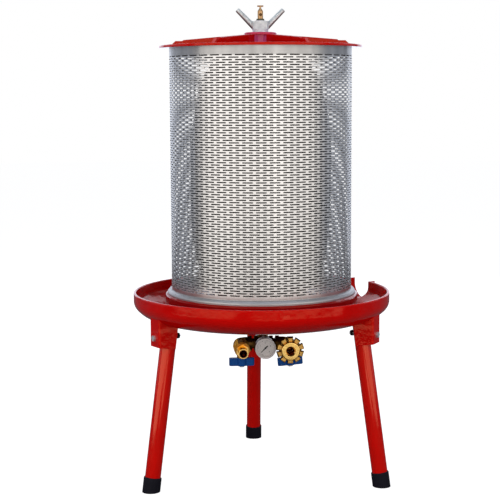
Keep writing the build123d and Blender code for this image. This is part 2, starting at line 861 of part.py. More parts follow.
# Close nipples hidden between the elbows and the valves
with BuildPart() as valve_nipples:
    for x in (-valve_offset, valve_offset):
        with BuildSketch(run_plane(x, valve_inlet + thread_depth - face_gap, front_way)):
            Circle(pipe_radius)
            Circle(flow_bore / 2, mode=Mode.SUBTRACT)
        extrude(amount=2 * (thread_depth - face_gap))
finish(valve_nipples, "valve_nipples")

# Ball valves lie along -Y with the handle below
ball_y = valve_inlet - valve_length / 2
ball_radius = ball_diameter / 2
cavity_radius = ball_radius + cavity_gap
seat_bore = flow_bore / 2 + running_gap
seat_face = sqrt((ball_radius + seat_gap) ** 2 - seat_bore**2)
valve_outlet = ball_y - valve_length / 2
gland_end = gland_boss_reach + gland_nut_height
handle_start = gland_end + face_gap
handle_end = handle_start + handle_height


def ball_valve(name, x, tilt):
    """One ball valve: body, seats, gland nut, and the turning ball, stem, handle and screw."""
    flow = Plane(origin=(x, ball_y, pipework_height), x_dir=(1, 0, 0), z_dir=front_way)
    lean = radians(tilt)
    stem_way = (sin(lean), 0, -cos(lean))
    across = (cos(lean), 0, sin(lean))
    down = Plane(origin=(x, ball_y, pipework_height), x_dir=across, z_dir=stem_way)
    side = Plane(origin=(x, ball_y, pipework_height), x_dir=(0, 1, 0), z_dir=across)

    with BuildPart() as body:
        with BuildSketch(flow.offset(-valve_length / 2)):
            RegularPolygon(valve_end_flats / 2, 6, major_radius=False)
        extrude(amount=valve_length)
        with BuildSketch(flow.offset(-valve_barrel_length / 2)):
            Circle(valve_barrel_radius)
        extrude(amount=valve_barrel_length)
        with BuildSketch(down):
            Circle(gland_boss_radius)
        extrude(amount=gland_boss_reach)
        with BuildSketch(flow.offset(-valve_length / 2)):
            Circle(flow_bore / 2)
        extrude(amount=valve_length, mode=Mode.SUBTRACT)
        for end in (-1, 1):
            with BuildSketch(flow.offset(end * valve_length / 2)):
                Circle(female_radius)
            extrude(amount=-end * thread_depth, mode=Mode.SUBTRACT)
        with BuildSketch(flow.offset(-seat_face - seat_thickness)):
            Circle(cavity_radius)
        extrude(amount=2 * (seat_face + seat_thickness), mode=Mode.SUBTRACT)
        with BuildSketch(down):
            Circle(stem_diameter / 2 + running_gap)
        extrude(amount=gland_boss_reach, mode=Mode.SUBTRACT)
    finish(body, f"{name}_valve_body")

    with BuildPart() as seats:
        for end in (-1, 1):
            with BuildSketch(flow.offset(end * seat_face)):
                Circle(cavity_radius - running_gap)
                Circle(seat_bore, mode=Mode.SUBTRACT)
            extrude(amount=end * seat_thickness)
    finish(seats, f"{name}_valve_seats")

    with BuildPart() as gland:
        with BuildSketch(down.offset(gland_boss_reach)):
            RegularPolygon(gland_nut_flats / 2, 6, major_radius=False)
            Circle(stem_diameter / 2 + running_gap, mode=Mode.SUBTRACT)
        extrude(amount=gland_nut_height)
    finish(gland, f"{name}_gland_nut")

    slot_floor = ball_radius - ball_slot_depth
    with BuildPart() as ball:
        with Locations((x, ball_y, pipework_height)):
            Sphere(ball_radius)
        with BuildSketch(side):
            Circle(ball_bore / 2)
        extrude(amount=ball_diameter, both=True, mode=Mode.SUBTRACT)
        with BuildSketch(down.offset(slot_floor)):
            Rectangle(ball_diameter, ball_slot_width)
        extrude(amount=ball_diameter, mode=Mode.SUBTRACT)
    finish(ball, f"{name}_valve_ball")

    stem_end = handle_end - running_gap
    with BuildPart() as stem:
        with BuildSketch(down.offset(slot_floor + running_gap)):
            Circle(stem_diameter / 2)
            Rectangle(stem_diameter, ball_slot_width - 2 * running_gap, mode=Mode.INTERSECT)
        extrude(amount=ball_slot_depth)
        with BuildSketch(down.offset(ball_radius + running_gap)):
            Circle(stem_diameter / 2)
        extrude(amount=stem_end - ball_radius - running_gap)
        with BuildSketch(down.offset(stem_end)):
            Circle(handle_screw_diameter / 2 + thread_gap)
        extrude(amount=-handle_screw_length, mode=Mode.SUBTRACT)
    finish(stem, f"{name}_valve_stem")

    with BuildPart() as handle:
        with BuildSketch(down.offset(handle_start)):
            Circle(handle_hub_radius)
            SlotOverall(handle_span, handle_thickness)
        extrude(amount=handle_height)
        handle_foot = handle.faces().sort_by(Axis(down.origin, stem_way))[-1]
        fillet(handle_foot.edges(), handle_round)
        with BuildSketch(down.offset(handle_start)):
            Circle(stem_diameter / 2 + running_gap)
        extrude(amount=handle_height, mode=Mode.SUBTRACT)
    finish(handle, f"{name}_handle")

    with BuildPart() as screw:
        with BuildSketch(down.offset(handle_end)):
            Circle(handle_screw_head / 2 + 2 * running_gap)
        extrude(amount=handle_screw_head_height)
        with BuildSketch(down.offset(handle_end)):
            Circle(handle_screw_diameter / 2)
        extrude(amount=-handle_screw_length + face_gap)
    finish(screw, f"{name}_handle_screw")


ball_valve("drain", -valve_offset, 0.0)
ball_valve("inlet", valve_offset, inlet_tilt)

# Hose tail on the drain valve: threaded spigot, hexagon and plain tube
tail_front = valve_outlet - tail_length
with BuildPart() as hose_tail:
    tail_plane = run_plane(-valve_offset, valve_outlet, front_way)
    with BuildSketch(tail_plane.offset(-thread_depth + face_gap)):
        Circle(pipe_radius)
    extrude(amount=thread_depth - face_gap)
    with BuildSketch(tail_plane):
        RegularPolygon(tail_flats / 2, 6, major_radius=False)
    extrude(amount=tail_hex_length)
    with BuildSketch(tail_plane):
        Circle(tail_diameter / 2)
    extrude(amount=tail_length)
    with BuildSketch(tail_plane.offset(-thread_depth)):
        Circle(flow_bore / 2)
    extrude(amount=tail_length + thread_depth, mode=Mode.SUBTRACT)
finish(hose_tail, "hose_tail")

# Coupling on the inlet valve: threaded spigot, neck for the swivel ring, disc with a funnelled mouth
ring_inner = ring_inner_diameter / 2
coupling_front = coupling_neck_length + coupling_disc_thickness
with BuildPart() as inlet_coupling:
    coupling_plane = run_plane(valve_offset, valve_outlet, front_way)
    with BuildSketch(coupling_plane.offset(-thread_depth + face_gap)):
        Circle(pipe_radius)
    extrude(amount=thread_depth - face_gap)
    with BuildSketch(coupling_plane):
        Circle(ring_inner - running_gap)
    extrude(amount=coupling_neck_length)
    with BuildSketch(coupling_plane.offset(coupling_neck_length)):
        Circle(coupling_disc_diameter / 2)
    extrude(amount=coupling_disc_thickness)
    disc_edge = inlet_coupling.faces().filter_by(Axis.Y).sort_by(Axis.Y)[0].edges()
    fillet(disc_edge, lid_round)
    with BuildSketch(coupling_plane.offset(-thread_depth)):
        Circle(flow_bore / 2)
    extrude(amount=thread_depth + coupling_ledge, mode=Mode.SUBTRACT)
    with BuildSketch(coupling_plane):
        Circle(coupling_bore / 2)
    extrude(amount=coupling_front, mode=Mode.SUBTRACT)
    mouth = [
        e
        for e in inlet_coupling.edges().filter_by(GeomType.CIRCLE)
        if abs(e.radius - coupling_bore / 2) < running_gap
    ]
    front_mouth = ShapeList(mouth).sort_by(Axis.Y)[0]
    chamfer(front_mouth, funnel_depth, (funnel_diameter - coupling_bore) / 2)
finish(inlet_coupling, "inlet_coupling")

# Castellated swivel ring, free to turn on the coupling's neck
ring_length = coupling_neck_length - 2 * ring_play
with BuildPart() as coupling_ring:
    with BuildSketch(run_plane(valve_offset, valve_outlet - ring_play, front_way)):
        Circle(ring_outer_diameter / 2)
        with PolarLocations(ring_outer_diameter / 2, lug_count):
            Rectangle(2 * lug_height, lug_width)
        Circle(ring_inner, mode=Mode.SUBTRACT)
    extrude(amount=ring_length)
finish(coupling_ring, "coupling_ring")

# Gauge levels, from the manifold's front port to the glass
gauge_radius = gauge_diameter / 2
gauge_port_face = cross_y - cross_port
gauge_rear = gauge_port_face - gauge_stem_length
gauge_front = gauge_rear - gauge_depth
lens_seat = gauge_front + lens_thickness + running_gap
dial_seat = gauge_front + dial_depth
lens_radius = gauge_radius - gauge_wall
dial_radius = lens_radius - gauge_ledge
inner_radius = dial_radius - gauge_ledge


def gauge_plane(y):
    """Plane across the gauge's axis, facing the front."""
    return run_plane(0, y, front_way)


# Gauge case: cup with ledges for dial and lens, and a threaded stem
with BuildPart() as gauge_case:
    with BuildSketch(gauge_plane(gauge_rear)):
        Circle(gauge_radius)
    extrude(amount=gauge_depth)
    for seat, radius in (
        (gauge_rear - gauge_back, inner_radius),
        (dial_seat, dial_radius),
        (lens_seat, lens_radius),
    ):
        with BuildSketch(gauge_plane(seat)):
            Circle(radius)
        extrude(amount=gauge_depth, mode=Mode.SUBTRACT)
    with BuildSketch(gauge_plane(gauge_port_face)):
        RegularPolygon(gauge_stem_flats / 2, 6, major_radius=False)
    extrude(amount=gauge_stem_length)
    with BuildSketch(gauge_plane(gauge_port_face + thread_depth - face_gap)):
        Circle(gauge_thread_diameter / 2)
    extrude(amount=thread_depth - face_gap)
finish(gauge_case, "gauge_case")

with BuildPart() as gauge_dial:
    with BuildSketch(gauge_plane(dial_seat)):
        Circle(dial_radius - running_gap)
        Circle(spindle_diameter / 2 + running_gap, mode=Mode.SUBTRACT)
    extrude(amount=dial_thickness)
finish(gauge_dial, "gauge_dial")

with BuildPart() as gauge_lens:
    with BuildSketch(gauge_plane(lens_seat)):
        Circle(lens_radius - running_gap)
    extrude(amount=lens_thickness)
finish(gauge_lens, "gauge_lens")

with BuildPart() as gauge_bezel:
    with BuildSketch(gauge_plane(gauge_front)):
        Circle(gauge_radius + bezel_wall)
        Circle(lens_radius - bezel_lip, mode=Mode.SUBTRACT)
    extrude(amount=bezel_wall)
    with BuildSketch(gauge_plane(gauge_front)):
        Circle(gauge_radius + bezel_wall)
        Circle(gauge_radius + thread_gap, mode=Mode.SUBTRACT)
    extrude(amount=-dial_depth)
finish(gauge_bezel, "gauge_bezel")

# Gauge needle: pointer at zero, broad tail, hub and spindle through the dial
needle_level = dial_seat - dial_thickness - needle_lift
with BuildPart() as gauge_needle:
    zero = radians(needle_zero)
    pointer = Plane(
        origin=(0, needle_level, pipework_height),
        x_dir=(cos(zero), 0, sin(zero)),
        z_dir=front_way,
    )
    with BuildSketch(pointer):
        with BuildLine():
            Polyline(
                (-needle_tail, -needle_width),
                (0, -needle_width),
                (needle_length, -needle_width / 4),
                (needle_length, needle_width / 4),
                (0, needle_width),
                (-needle_tail, needle_width),
                close=True,
            )
        make_face()
        Circle(needle_hub_diameter / 2)
    extrude(amount=needle_thickness)
    with BuildSketch(pointer):
        Circle(spindle_diameter / 2)
    extrude(amount=-needle_lift - spindle_depth)
finish(gauge_needle, "gauge_needle")

# Bourdon tube: a C of flat tube, rooted on the case's back
bourdon_back = gauge_rear - gauge_back
with BuildPart() as gauge_bourdon_tube:
    with BuildSketch(Plane(origin=(0, 0, pipework_height), z_dir=(0, 0, 1))):
        with Locations((bourdon_radius, bourdon_back - 1.5 * bourdon_width)):
            Rectangle(bourdon_thickness, bourdon_width)
    revolve(
        axis=Axis((0, 0, pipework_height), (0, 1, 0)),
        revolution_arc=bourdon_sweep,
    )
    with BuildSketch(gauge_plane(bourdon_back)):
        with Locations((bourdon_radius, 0)):
            Rectangle(bourdon_thickness, bourdon_width)
    extrude(amount=2 * bourdon_width)
finish(gauge_bourdon_tube, "gauge_bourdon_tube")
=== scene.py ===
"""Looks of a bladder fruit press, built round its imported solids."""
from math import cos, pi, radians, sin, tau

import bpy
from mathutils import Matrix, Vector


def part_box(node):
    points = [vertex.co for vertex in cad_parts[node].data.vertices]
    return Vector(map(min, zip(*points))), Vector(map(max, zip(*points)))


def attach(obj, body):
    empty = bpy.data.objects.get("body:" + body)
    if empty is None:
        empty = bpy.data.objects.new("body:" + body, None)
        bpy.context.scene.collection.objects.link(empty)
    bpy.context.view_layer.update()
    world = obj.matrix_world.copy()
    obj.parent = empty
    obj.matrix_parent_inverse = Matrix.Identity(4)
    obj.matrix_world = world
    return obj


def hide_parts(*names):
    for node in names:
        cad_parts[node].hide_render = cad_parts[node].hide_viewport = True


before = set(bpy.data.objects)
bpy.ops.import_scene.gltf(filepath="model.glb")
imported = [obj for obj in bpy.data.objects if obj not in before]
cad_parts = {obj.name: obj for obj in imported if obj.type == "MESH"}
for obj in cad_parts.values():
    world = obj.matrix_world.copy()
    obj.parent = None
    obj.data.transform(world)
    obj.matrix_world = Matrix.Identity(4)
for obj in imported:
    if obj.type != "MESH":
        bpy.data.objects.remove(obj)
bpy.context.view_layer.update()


# Tray and lid: iron castings under one sprayed coat of red enamel, its gloss in slow waves and fine peel.
# The lid's hub carries a painted bluish reflection, and painted shade darkens the corner round the plateau's
# step and the lid's inner face. The leg sockets below the tray are lumpy from the sand they were cast in.
def put(tree, kind, **settings):
    """Adds a shader node. Settings are properties, input names, or input numbers as i0, i1."""
    node = tree.nodes.new("ShaderNode" + kind)
    for key, value in settings.items():
        if key[0] == "i" and key[1:].isdigit():
            socket = node.inputs[int(key[1:])]
        elif key[0].isupper():
            socket = node.inputs[key.replace("_", " ")]
        else:
            setattr(node, key, value)
            continue
        if isinstance(value, bpy.types.NodeSocket):
            tree.links.new(value, socket)
        else:
            socket.default_value = value
    return node


def effect(name, inputs, outputs):
    """Starts a shader node group; returns its tree, its input sockets and its output sockets."""
    tree = bpy.data.node_groups.new(name, "ShaderNodeTree")
    for label, value in inputs.items():
        socket = tree.interface.new_socket(label, in_out="INPUT", socket_type="NodeSocketFloat")
        socket.default_value = value
    for label in outputs:
        tree.interface.new_socket(label, in_out="OUTPUT", socket_type="NodeSocketFloat")
    return tree, tree.nodes.new("NodeGroupInput").outputs, tree.nodes.new("NodeGroupOutput").inputs


def feed(tree, values, sockets):
    """Links values to a group's outputs, in their order."""
    for value, socket in zip(values, sockets):
        tree.links.new(value, socket)


def finish(name, **values):
    """Starts a material; returns it, its tree and its shader, with plain values on the shader."""
    material = bpy.data.materials.new(name)
    material.use_nodes = True
    tree = material.node_tree
    shader = tree.nodes["Principled BSDF"]
    for key, value in values.items():
        shader.inputs[key.replace("_", " ")].default_value = value
    return material, tree, shader


def axes(tree):
    """Object coordinates of the surface, as three sockets."""
    return list(put(tree, "SeparateXYZ", Vector=put(tree, "TexCoord").outputs["Object"]).outputs)


def calc(tree, operation, *values):
    """Arithmetic on one to three values, each a number or a socket."""
    inputs = {f"i{number}": value for number, value in enumerate(values)}
    return put(tree, "Math", operation=operation, **inputs).outputs[0]


def distance(tree, across, up):
    """Distance from an axis, from the two offsets square to it."""
    offset = put(tree, "CombineXYZ", X=across, Y=up).outputs[0]
    return put(tree, "VectorMath", operation="LENGTH", i0=offset).outputs["Value"]


def clouds(tree, scale, detail):
    """Soft noise over the surface."""
    place = put(tree, "TexCoord").outputs["Object"]
    return put(tree, "TexNoise", Vector=place, Scale=scale, Detail=detail).outputs[0]


def mask(tree, value, fade, most=1.0):
    """Mask that is 0 at the fade's first value and most, a number or another mask, at its second."""
    return put(tree, "MapRange", Value=value, From_Min=fade[0], From_Max=fade[1], To_Max=most).outputs[0]


def blend(tree, amount, low, high):
    """Colour that runs from low to high with a mask; each end is a colour or a colour socket."""
    ends = [(*end, 1) if isinstance(end, tuple) else end for end in (low, high)]
    return put(tree, "Mix", data_type="RGBA", i0=amount, i6=ends[0], i7=ends[1]).outputs[2]


def tint(tree, shader, amount, low, high):
    """Base colour that runs from low to high with a mask."""
    tree.links.new(blend(tree, amount, low, high), shader.inputs["Base Color"])


def sheen(tree, shader, amount, low, high):
    """Roughness that runs from low to high with a mask."""
    rough = put(tree, "MapRange", Value=amount, To_Min=low, To_Max=high)
    tree.links.new(rough.outputs[0], shader.inputs["Roughness"])


def relief(tree, shader, height, depth):
    """Surface relief of a depth in metres, from a height mask."""
    bump = put(tree, "Bump", Height=height, Strength=1.0, Distance=depth)
    tree.links.new(bump.outputs[0], shader.inputs["Normal"])


def coat(material, *nodes):
    """Gives solids of the frame a finish."""
    for name in nodes:
        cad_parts[name].material_slots[0].material = material


mottle, mottle_in, mottle_out = effect(
    "mottle", {"Broad Scale": 30.0, "Fine Scale": 400.0, "Fine Share": 0.3}, ("Broad", "Fine", "Relief")
)
broad = clouds(mottle, mottle_in[0], 2.0)
fine = clouds(mottle, mottle_in[1], 3.0)
both = put(mottle, "Mix", i0=mottle_in[2], i2=broad, i3=fine).outputs[0]
feed(mottle, (broad, fine, both), mottle_out)


def mottling(tree, broad, fine, share):
    """Places the mottle in a finish, with its two scales and the fine one's share; returns its outputs."""
    return put(tree, "Group", node_tree=mottle, Broad_Scale=broad, Fine_Scale=fine, Fine_Share=share).outputs


lid_fade, hub_wall_fade, hub_disc_fade = (0.8, 0.801), (0.0295, 0.0275), (0.8570, 0.8575)
step_foot_fade, step_top_fade, step_wall_fade = (0.313, 0.318), (0.3635, 0.3615), (0.1925, 0.1885)
inner_face_fade, spigot_fade, socket_fade = (0.8335, 0.8325), (0.174, 0.1735), (0.312, 0.304)
hub_wall_share, hub_disc_share, corner_shade_share = 0.88, 0.25, 0.95
lump_scale, lump_share, casting_depth = 170.0, 0.75, 0.0010
casting_red = (0.49, 0.0006, 0.0006), (0.61, 0.0014, 0.0014)
hub_reflection_tint, corner_shade_tint, inner_face_shade_tint = (0.78, 0.165, 0.50), (0.27, 0.002, 0.004), (0.035, 0.001, 0.001)
red_enamel, tree, shader = finish("red_enamel", Specular_IOR_Level=0.45, Specular_Tint=(1, 0.40, 0.22, 1))
skin = mottling(tree, 42.0, 330.0, 0.13)
x, y, z = axes(tree)
reach = distance(tree, x, y)
on_lid = mask(tree, z, lid_fade)
on_hub = mask(tree, on_lid, (0, 1), hub_wall_share)
hub_wall = mask(tree, reach, hub_wall_fade, on_hub)
hub_disc = mask(tree, z, hub_disc_fade, hub_disc_share)
hub = calc(tree, "MAXIMUM", hub_wall, hub_disc)
above_foot = mask(tree, z, step_foot_fade, corner_shade_share)
beside_step = mask(tree, z, step_top_fade, above_foot)
corner = mask(tree, reach, step_wall_fade, beside_step)
under_lid = mask(tree, z, inner_face_fade, on_lid)
inner_face_shaded = mask(tree, reach, spigot_fade, under_lid)
red = blend(tree, skin["Broad"], *casting_red)
# Painted reflection: a bluish tint on the lid's hub wall and the top of its disc.
hub_reflected = blend(tree, hub, red, hub_reflection_tint)
# Painted shade: the corner round the plateau's step is darkened.
corner_shaded = blend(tree, corner, hub_reflected, corner_shade_tint)
# Painted shade: the lid's inner face round the spigot is darkened.
tint(tree, shader, inner_face_shaded, corner_shaded, inner_face_shade_tint)
sheen(tree, shader, skin["Fine"], 0.05, 0.13)
on_socket = mask(tree, z, socket_fade, lump_share)
lumps = clouds(tree, lump_scale, 2.0)
relief(tree, shader, calc(tree, "MULTIPLY_ADD", lumps, on_socket, skin["Relief"]), casting_depth)
coat(red_enamel, "base_tray", "lid")


# Legs: drawn steel tube pushed up into the tray's sockets, under the same red enamel.
# Tube is smoother than a casting, so the coat lies flat and mirrors the light in a clean stripe.
def mottled(name, spots, colours, gloss, depth=None, **values):
    """Finish whose colour, gloss and relief follow one mottle; spots are its scales and fine share."""
    material, tree, shader = finish(name, **values)
    skin = mottling(tree, *spots)
    tint(tree, shader, skin["Broad"], *colours)
    sheen(tree, shader, skin["Fine"], *gloss)
    if depth:
        relief(tree, shader, skin["Relief"], depth)
    return material


leg_enamel = mottled(
    "leg_enamel", spots=(24.0, 330.0, 0.13), colours=((0.54, 0.0004, 0.0004), (0.68, 0.0009, 0.0009)),
    gloss=(0.05, 0.12), depth=0.0002, Specular_IOR_Level=1.0, Specular_Tint=(1, 0.45, 0.26, 1),
)
coat(leg_enamel, "leg_back", "leg_left", "leg_right")

# Feet: black rubber caps pushed over the leg ends, so that the press doesn't slide.
# They are moulded matt, and clouded by a little dust.
foot_rubber = mottled(
    "foot_rubber", spots=(60.0, 1500.0, 0.6), colours=((0.003, 0.003, 0.007), (0.010, 0.010, 0.018)),
    gloss=(0.45, 0.75), depth=0.0003, Specular_IOR_Level=0.12,
)
coat(foot_rubber, "foot_back", "foot_left", "foot_right")

# Leg bolts: bright zinc-plated hexagon heads on the outer webs, with black nuts on the inner side.
# Plating leaves faint clouds on the steel, and the black nuts are oxide-blackened.
zinc_plate = mottled(
    "zinc_plate", spots=(180.0, 2200.0, 0.5), colours=((0.56, 0.57, 0.59), (0.76, 0.77, 0.79)),
    gloss=(0.36, 0.54), depth=0.0001, Metallic=0.8,
)
dark_steel = mottled(
    "dark_steel", spots=(120.0, 1600.0, 0.5), colours=((0.012, 0.012, 0.014), (0.05, 0.05, 0.052)),
    gloss=(0.3, 0.5), depth=0.00015, Metallic=0.8,
)
coat(zinc_plate, "leg_bolts")
coat(dark_steel, "leg_nuts")


# Standpipe: galvanised steel pipe on the press axis, cut with a pipe thread at both ends.
# It screws into the supply elbow, holds the bladder's plates and takes the wing nut at the top.
# Three holes drilled across it let the water into the bladder.
def modifier(piece, kind, **settings):
    """Puts a modifier on a piece and applies it."""
    bpy.ops.object.mode_set(mode="OBJECT")
    bpy.context.view_layer.objects.active = piece
    step = piece.modifiers.new(kind.lower(), kind)
    for key, value in settings.items():
        setattr(step, key, value)
    bpy.ops.object.modifier_apply(modifier=step.name)


same_place = 1e-6


def closed(piece):
    """Merges a mesh's doubles and turns its faces outwards."""
    bpy.context.view_layer.objects.active = piece
    bpy.ops.object.mode_set(mode="EDIT")
    bpy.ops.mesh.select_all(action="SELECT")
    bpy.ops.mesh.remove_doubles(threshold=same_place)
    bpy.ops.mesh.normals_make_consistent(inside=False)
    bpy.ops.object.mode_set(mode="OBJECT")


def fit(piece, name, material, slot, body, *nodes):
    """Names a finished piece and gives it its finish, its body and the solids that it stands for."""
    bpy.ops.object.mode_set(mode="OBJECT")
    piece.name = name
    piece.data.materials.clear()
    piece.data.materials.append(material)
    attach(piece, body)
    if nodes:
        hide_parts(*nodes)
    bpy.ops.object.select_all(action="DESELECT")


bpy.ops.object.select_all(action="DESELECT")
pipe_low, pipe_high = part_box("standpipe")
bladder_low, bladder_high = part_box("bladder")
pipe_radius, pipe_bore, pipe_sides = 0.01065, 0.008, 48
thread_pitch, thread_root, thread_steps, spare_turns = 0.001814, 0.0096, 24, 2
lower_thread_end, upper_thread_start = 0.350, 0.800
plain_step, overlap, overrun = 0.00008, 0.001, 0.01
hole_radius, hole_sides, drill_length, hole_shares = 0.004, 24, 0.04, (0.25, 0.5, 0.75)


def threaded_rod(low, high):
    """Solid rod with a helical V thread between two heights."""
    start = low - spare_turns * thread_pitch
    bpy.ops.mesh.primitive_circle_add(vertices=3, location=(0, 0, 0))
    rod = bpy.context.object
    thread_profile = ((thread_root, 0), (pipe_radius, 0.5), (thread_root, 1))
    for corner, (reach, rise) in zip(rod.data.vertices, thread_profile):
        corner.co = (reach, 0, start + rise * thread_pitch)
    bpy.ops.object.mode_set(mode="OBJECT")
    for edge in rod.data.edges:
        edge.select = set(edge.vertices) == {0, 2}
    bpy.context.tool_settings.mesh_select_mode = (False, True, False)
    bpy.ops.object.mode_set(mode="EDIT")
    bpy.ops.mesh.delete(type="EDGE")
    turns = int((high - low) / thread_pitch) + 2 * spare_turns
    modifier(rod, "SCREW", angle=tau, screw_offset=thread_pitch, iterations=turns, steps=thread_steps,
             render_steps=thread_steps, use_merge_vertices=True, merge_threshold=same_place)
    for height, above in ((high, True), (low, False)):
        bpy.ops.object.mode_set(mode="EDIT")
        bpy.ops.mesh.select_all(action="SELECT")
        bpy.ops.mesh.bisect(plane_co=(0, 0, height), plane_no=(0, 0, 1), use_fill=True,
                            clear_outer=above, clear_inner=not above)
    closed(rod)
    return rod


def turned_rod(radius, low, high):
    """Plain solid rod between two heights on the press axis."""
    bpy.ops.mesh.primitive_cylinder_add(
        vertices=pipe_sides, radius=radius, depth=high - low, location=(0, 0, (low + high) / 2)
    )
    bpy.ops.object.transform_apply()
    return bpy.context.object


def combine(piece, tool, operation):
    """Joins a tool's shape to a piece, or cuts it out, and clears the tool away."""
    modifier(piece, "BOOLEAN", object=tool, operation=operation, solver="EXACT")
    bpy.data.objects.remove(tool)


pipe = turned_rod(pipe_radius - plain_step, lower_thread_end - overlap, upper_thread_start + overlap)
combine(pipe, threaded_rod(pipe_low.z, lower_thread_end), "UNION")
combine(pipe, threaded_rod(upper_thread_start, pipe_high.z), "UNION")
combine(pipe, turned_rod(pipe_bore, pipe_low.z - overrun, pipe_high.z + overrun), "DIFFERENCE")
closed(pipe)
bpy.ops.object.shade_smooth_by_angle(angle=radians(25))
for share in hole_shares:
    height = bladder_low.z + share * (bladder_high.z - bladder_low.z)
    bpy.ops.mesh.primitive_cylinder_add(
        vertices=hole_sides, radius=hole_radius, depth=drill_length, location=(0, 0, height),
        rotation=(pi / 2, 0, 0),
    )
    combine(pipe, bpy.context.object, "DIFFERENCE")
fit(pipe, "threaded_standpipe", zinc_plate, "zinc", "base", "standpipe")
coat(zinc_plate, "tray_lock_nut", "feed_lock_nut", "bladder_lower_nut", "bladder_top_nut", "pipe_end_plug")

# Bladder plates: turned stainless discs that clamp the bladder's ends, with fine rings from the lathe.
# Each pair grips the rubber between an outer plate and a smaller clamp ring inside.
lathe, lathe_in, lathe_out = effect("lathe_rings", {"Ring Scale": 900.0, "Waver": 0.3}, ("Rings", "Cloud"))
x, y, _ = axes(lathe)
cloud = clouds(lathe, 55.0, 2.0)
count = calc(lathe, "MULTIPLY", distance(lathe, x, y), lathe_in[0])
waver = calc(lathe, "MULTIPLY", cloud, lathe_in[1])
along = calc(lathe, "ADD", count, waver)
rings = put(lathe, "TexNoise", noise_dimensions="1D", W=along, Scale=1.0, Detail=2.0).outputs[0]
feed(lathe, (rings, cloud), lathe_out)
ring_depth = 0.00006


def lathed(name, ring_scale, waver, colours, gloss):
    """Bright metal finish with fine rings round the press axis."""
    material, tree, shader = finish(name, Metallic=1.0)
    skin = put(tree, "Group", node_tree=lathe, Ring_Scale=ring_scale, Waver=waver).outputs
    tint(tree, shader, skin["Cloud"], *colours)
    sheen(tree, shader, skin["Rings"], *gloss)
    relief(tree, shader, skin["Rings"], ring_depth)
    return material


turned_steel = lathed(
    "turned_steel", ring_scale=1400.0, waver=0.4, colours=((0.50, 0.50, 0.50), (0.66, 0.66, 0.65)),
    gloss=(0.22, 0.40),
)
coat(turned_steel, "bladder_base_plate", "bladder_lower_clamp", "bladder_upper_clamp", "bladder_top_plate")

# Bladder: a black rubber sleeve that stands slack round the pipe, its ends drawn in under the plates.
# Slack rubber gathers in soft pleats near the ends and rolls up round the top plate.
# Two mould lines run up it, one on each side.
bladder_rubber = mottled(
    "bladder_rubber", spots=(25.0, 900.0, 0.5), colours=((0.008, 0.008, 0.009), (0.024, 0.024, 0.025)),
    gloss=(0.38, 0.62), depth=0.0003, Specular_IOR_Level=0.4,
)
sleeve_sides, sleeve_rings, end_rings, corner_steps = 120, 48, 5, 6
sleeve_neck, sleeve_end, sleeve_belly, fullness = 0.032, 0.106, 0.136, 3
corner_round, rubber_wall = 0.018, 0.004
pleats, pleat_depth, pleat_reach = 15, 0.0034, 0.095
folds = (0.5, pleats, 0.0), (0.3, 2 * pleats, 1.3), (0.2, 7, 0.6)
wall_start, wall_fade = 0.07, 0.03
slack_depth, slack_waves, slack_twist = 0.0012, 3, 14
line_height, line_width, line_fade = 0.0007, 0.03, 0.02
plate_edge, crown_rise, top_shrink = 0.066, 0.0115, 0.006
sleeve_half = (bladder_high.z - bladder_low.z) / 2
sleeve_middle = (bladder_high.z + bladder_low.z) / 2


def sleeve_wall(rise):
    """Radius of the slack wall at a height above or below the middle."""
    return sleeve_end + (sleeve_belly - sleeve_end) * (1 - (abs(rise) / sleeve_half) ** fullness)


end_width = sleeve_end - corner_round - sleeve_neck
end_profile = [(sleeve_neck + end_width * k / end_rings, -sleeve_half) for k in range(end_rings + 1)]
for k in range(1, corner_steps):
    turn = pi / 2 * k / corner_steps
    rise = -sleeve_half + corner_round * (1 - cos(turn))
    end_profile.append((sleeve_wall(rise) - corner_round * (1 - sin(turn)), rise))
wall_bottom = -sleeve_half + corner_round
wall_rises = [wall_bottom * (1 - 2 * k / sleeve_rings) for k in range(sleeve_rings + 1)]
profile = end_profile + [(sleeve_wall(rise), rise) for rise in wall_rises]
profile += [(reach, -rise) for reach, rise in reversed(end_profile)]
bpy.ops.mesh.primitive_circle_add(vertices=sleeve_sides, radius=profile[0][0], location=(0, 0, 0))
sleeve = bpy.context.object
bpy.ops.object.mode_set(mode="EDIT")
bpy.ops.mesh.select_all(action="SELECT")
bpy.ops.transform.translate(value=(0, 0, profile[0][1]))
for (reach, rise), (next_reach, next_rise) in zip(profile, profile[1:]):
    growth = next_reach / reach
    bpy.ops.mesh.extrude_edges_move(TRANSFORM_OT_translate={"value": (0, 0, next_rise - rise)})
    bpy.ops.transform.resize(value=(growth, growth, 1), center_override=(0, 0, next_rise))
bpy.ops.object.mode_set(mode="OBJECT")
for corner in sleeve.data.vertices:
    reach = corner.co.xy.length
    turn = corner.co.xy.angle_signed(Vector((1, 0)))
    from_end = sleeve_half - abs(corner.co.z)
    on_wall = min(1.0, max(0.0, reach - wall_start) / wall_fade)
    gather = max(0.0, 1 - from_end / pleat_reach) ** 2 * on_wall
    wave = sum(share * sin(count * turn + start) for share, count, start in folds)
    off_end = min(1.0, from_end / pleat_reach)
    slack = slack_depth * sin(slack_waves * turn + slack_twist * corner.co.z) * off_end
    mould_line = line_height * max(0.0, 1 - abs(sin(turn)) / line_width) * min(1.0, from_end / line_fade)
    shrink = top_shrink * max(0.0, corner.co.z / sleeve_half) ** 2 * on_wall
    stretch = 1 + (pleat_depth * gather * wave + slack + mould_line - shrink) / reach
    corner.co.x *= stretch
    corner.co.y *= stretch
    if corner.co.z > 0:
        across_crown = min(1.0, max(0.0, (reach - plate_edge) / (sleeve_end - plate_edge)))
        corner.co.z += crown_rise * sin(pi * across_crown)
    corner.co.z += sleeve_middle
closed(sleeve)
modifier(sleeve, "SOLIDIFY", thickness=rubber_wall, offset=-1)
bpy.ops.object.shade_smooth_by_angle(angle=radians(50))
fit(sleeve, "bladder_sleeve", bladder_rubber, "bladder_rubber", "base", "bladder")
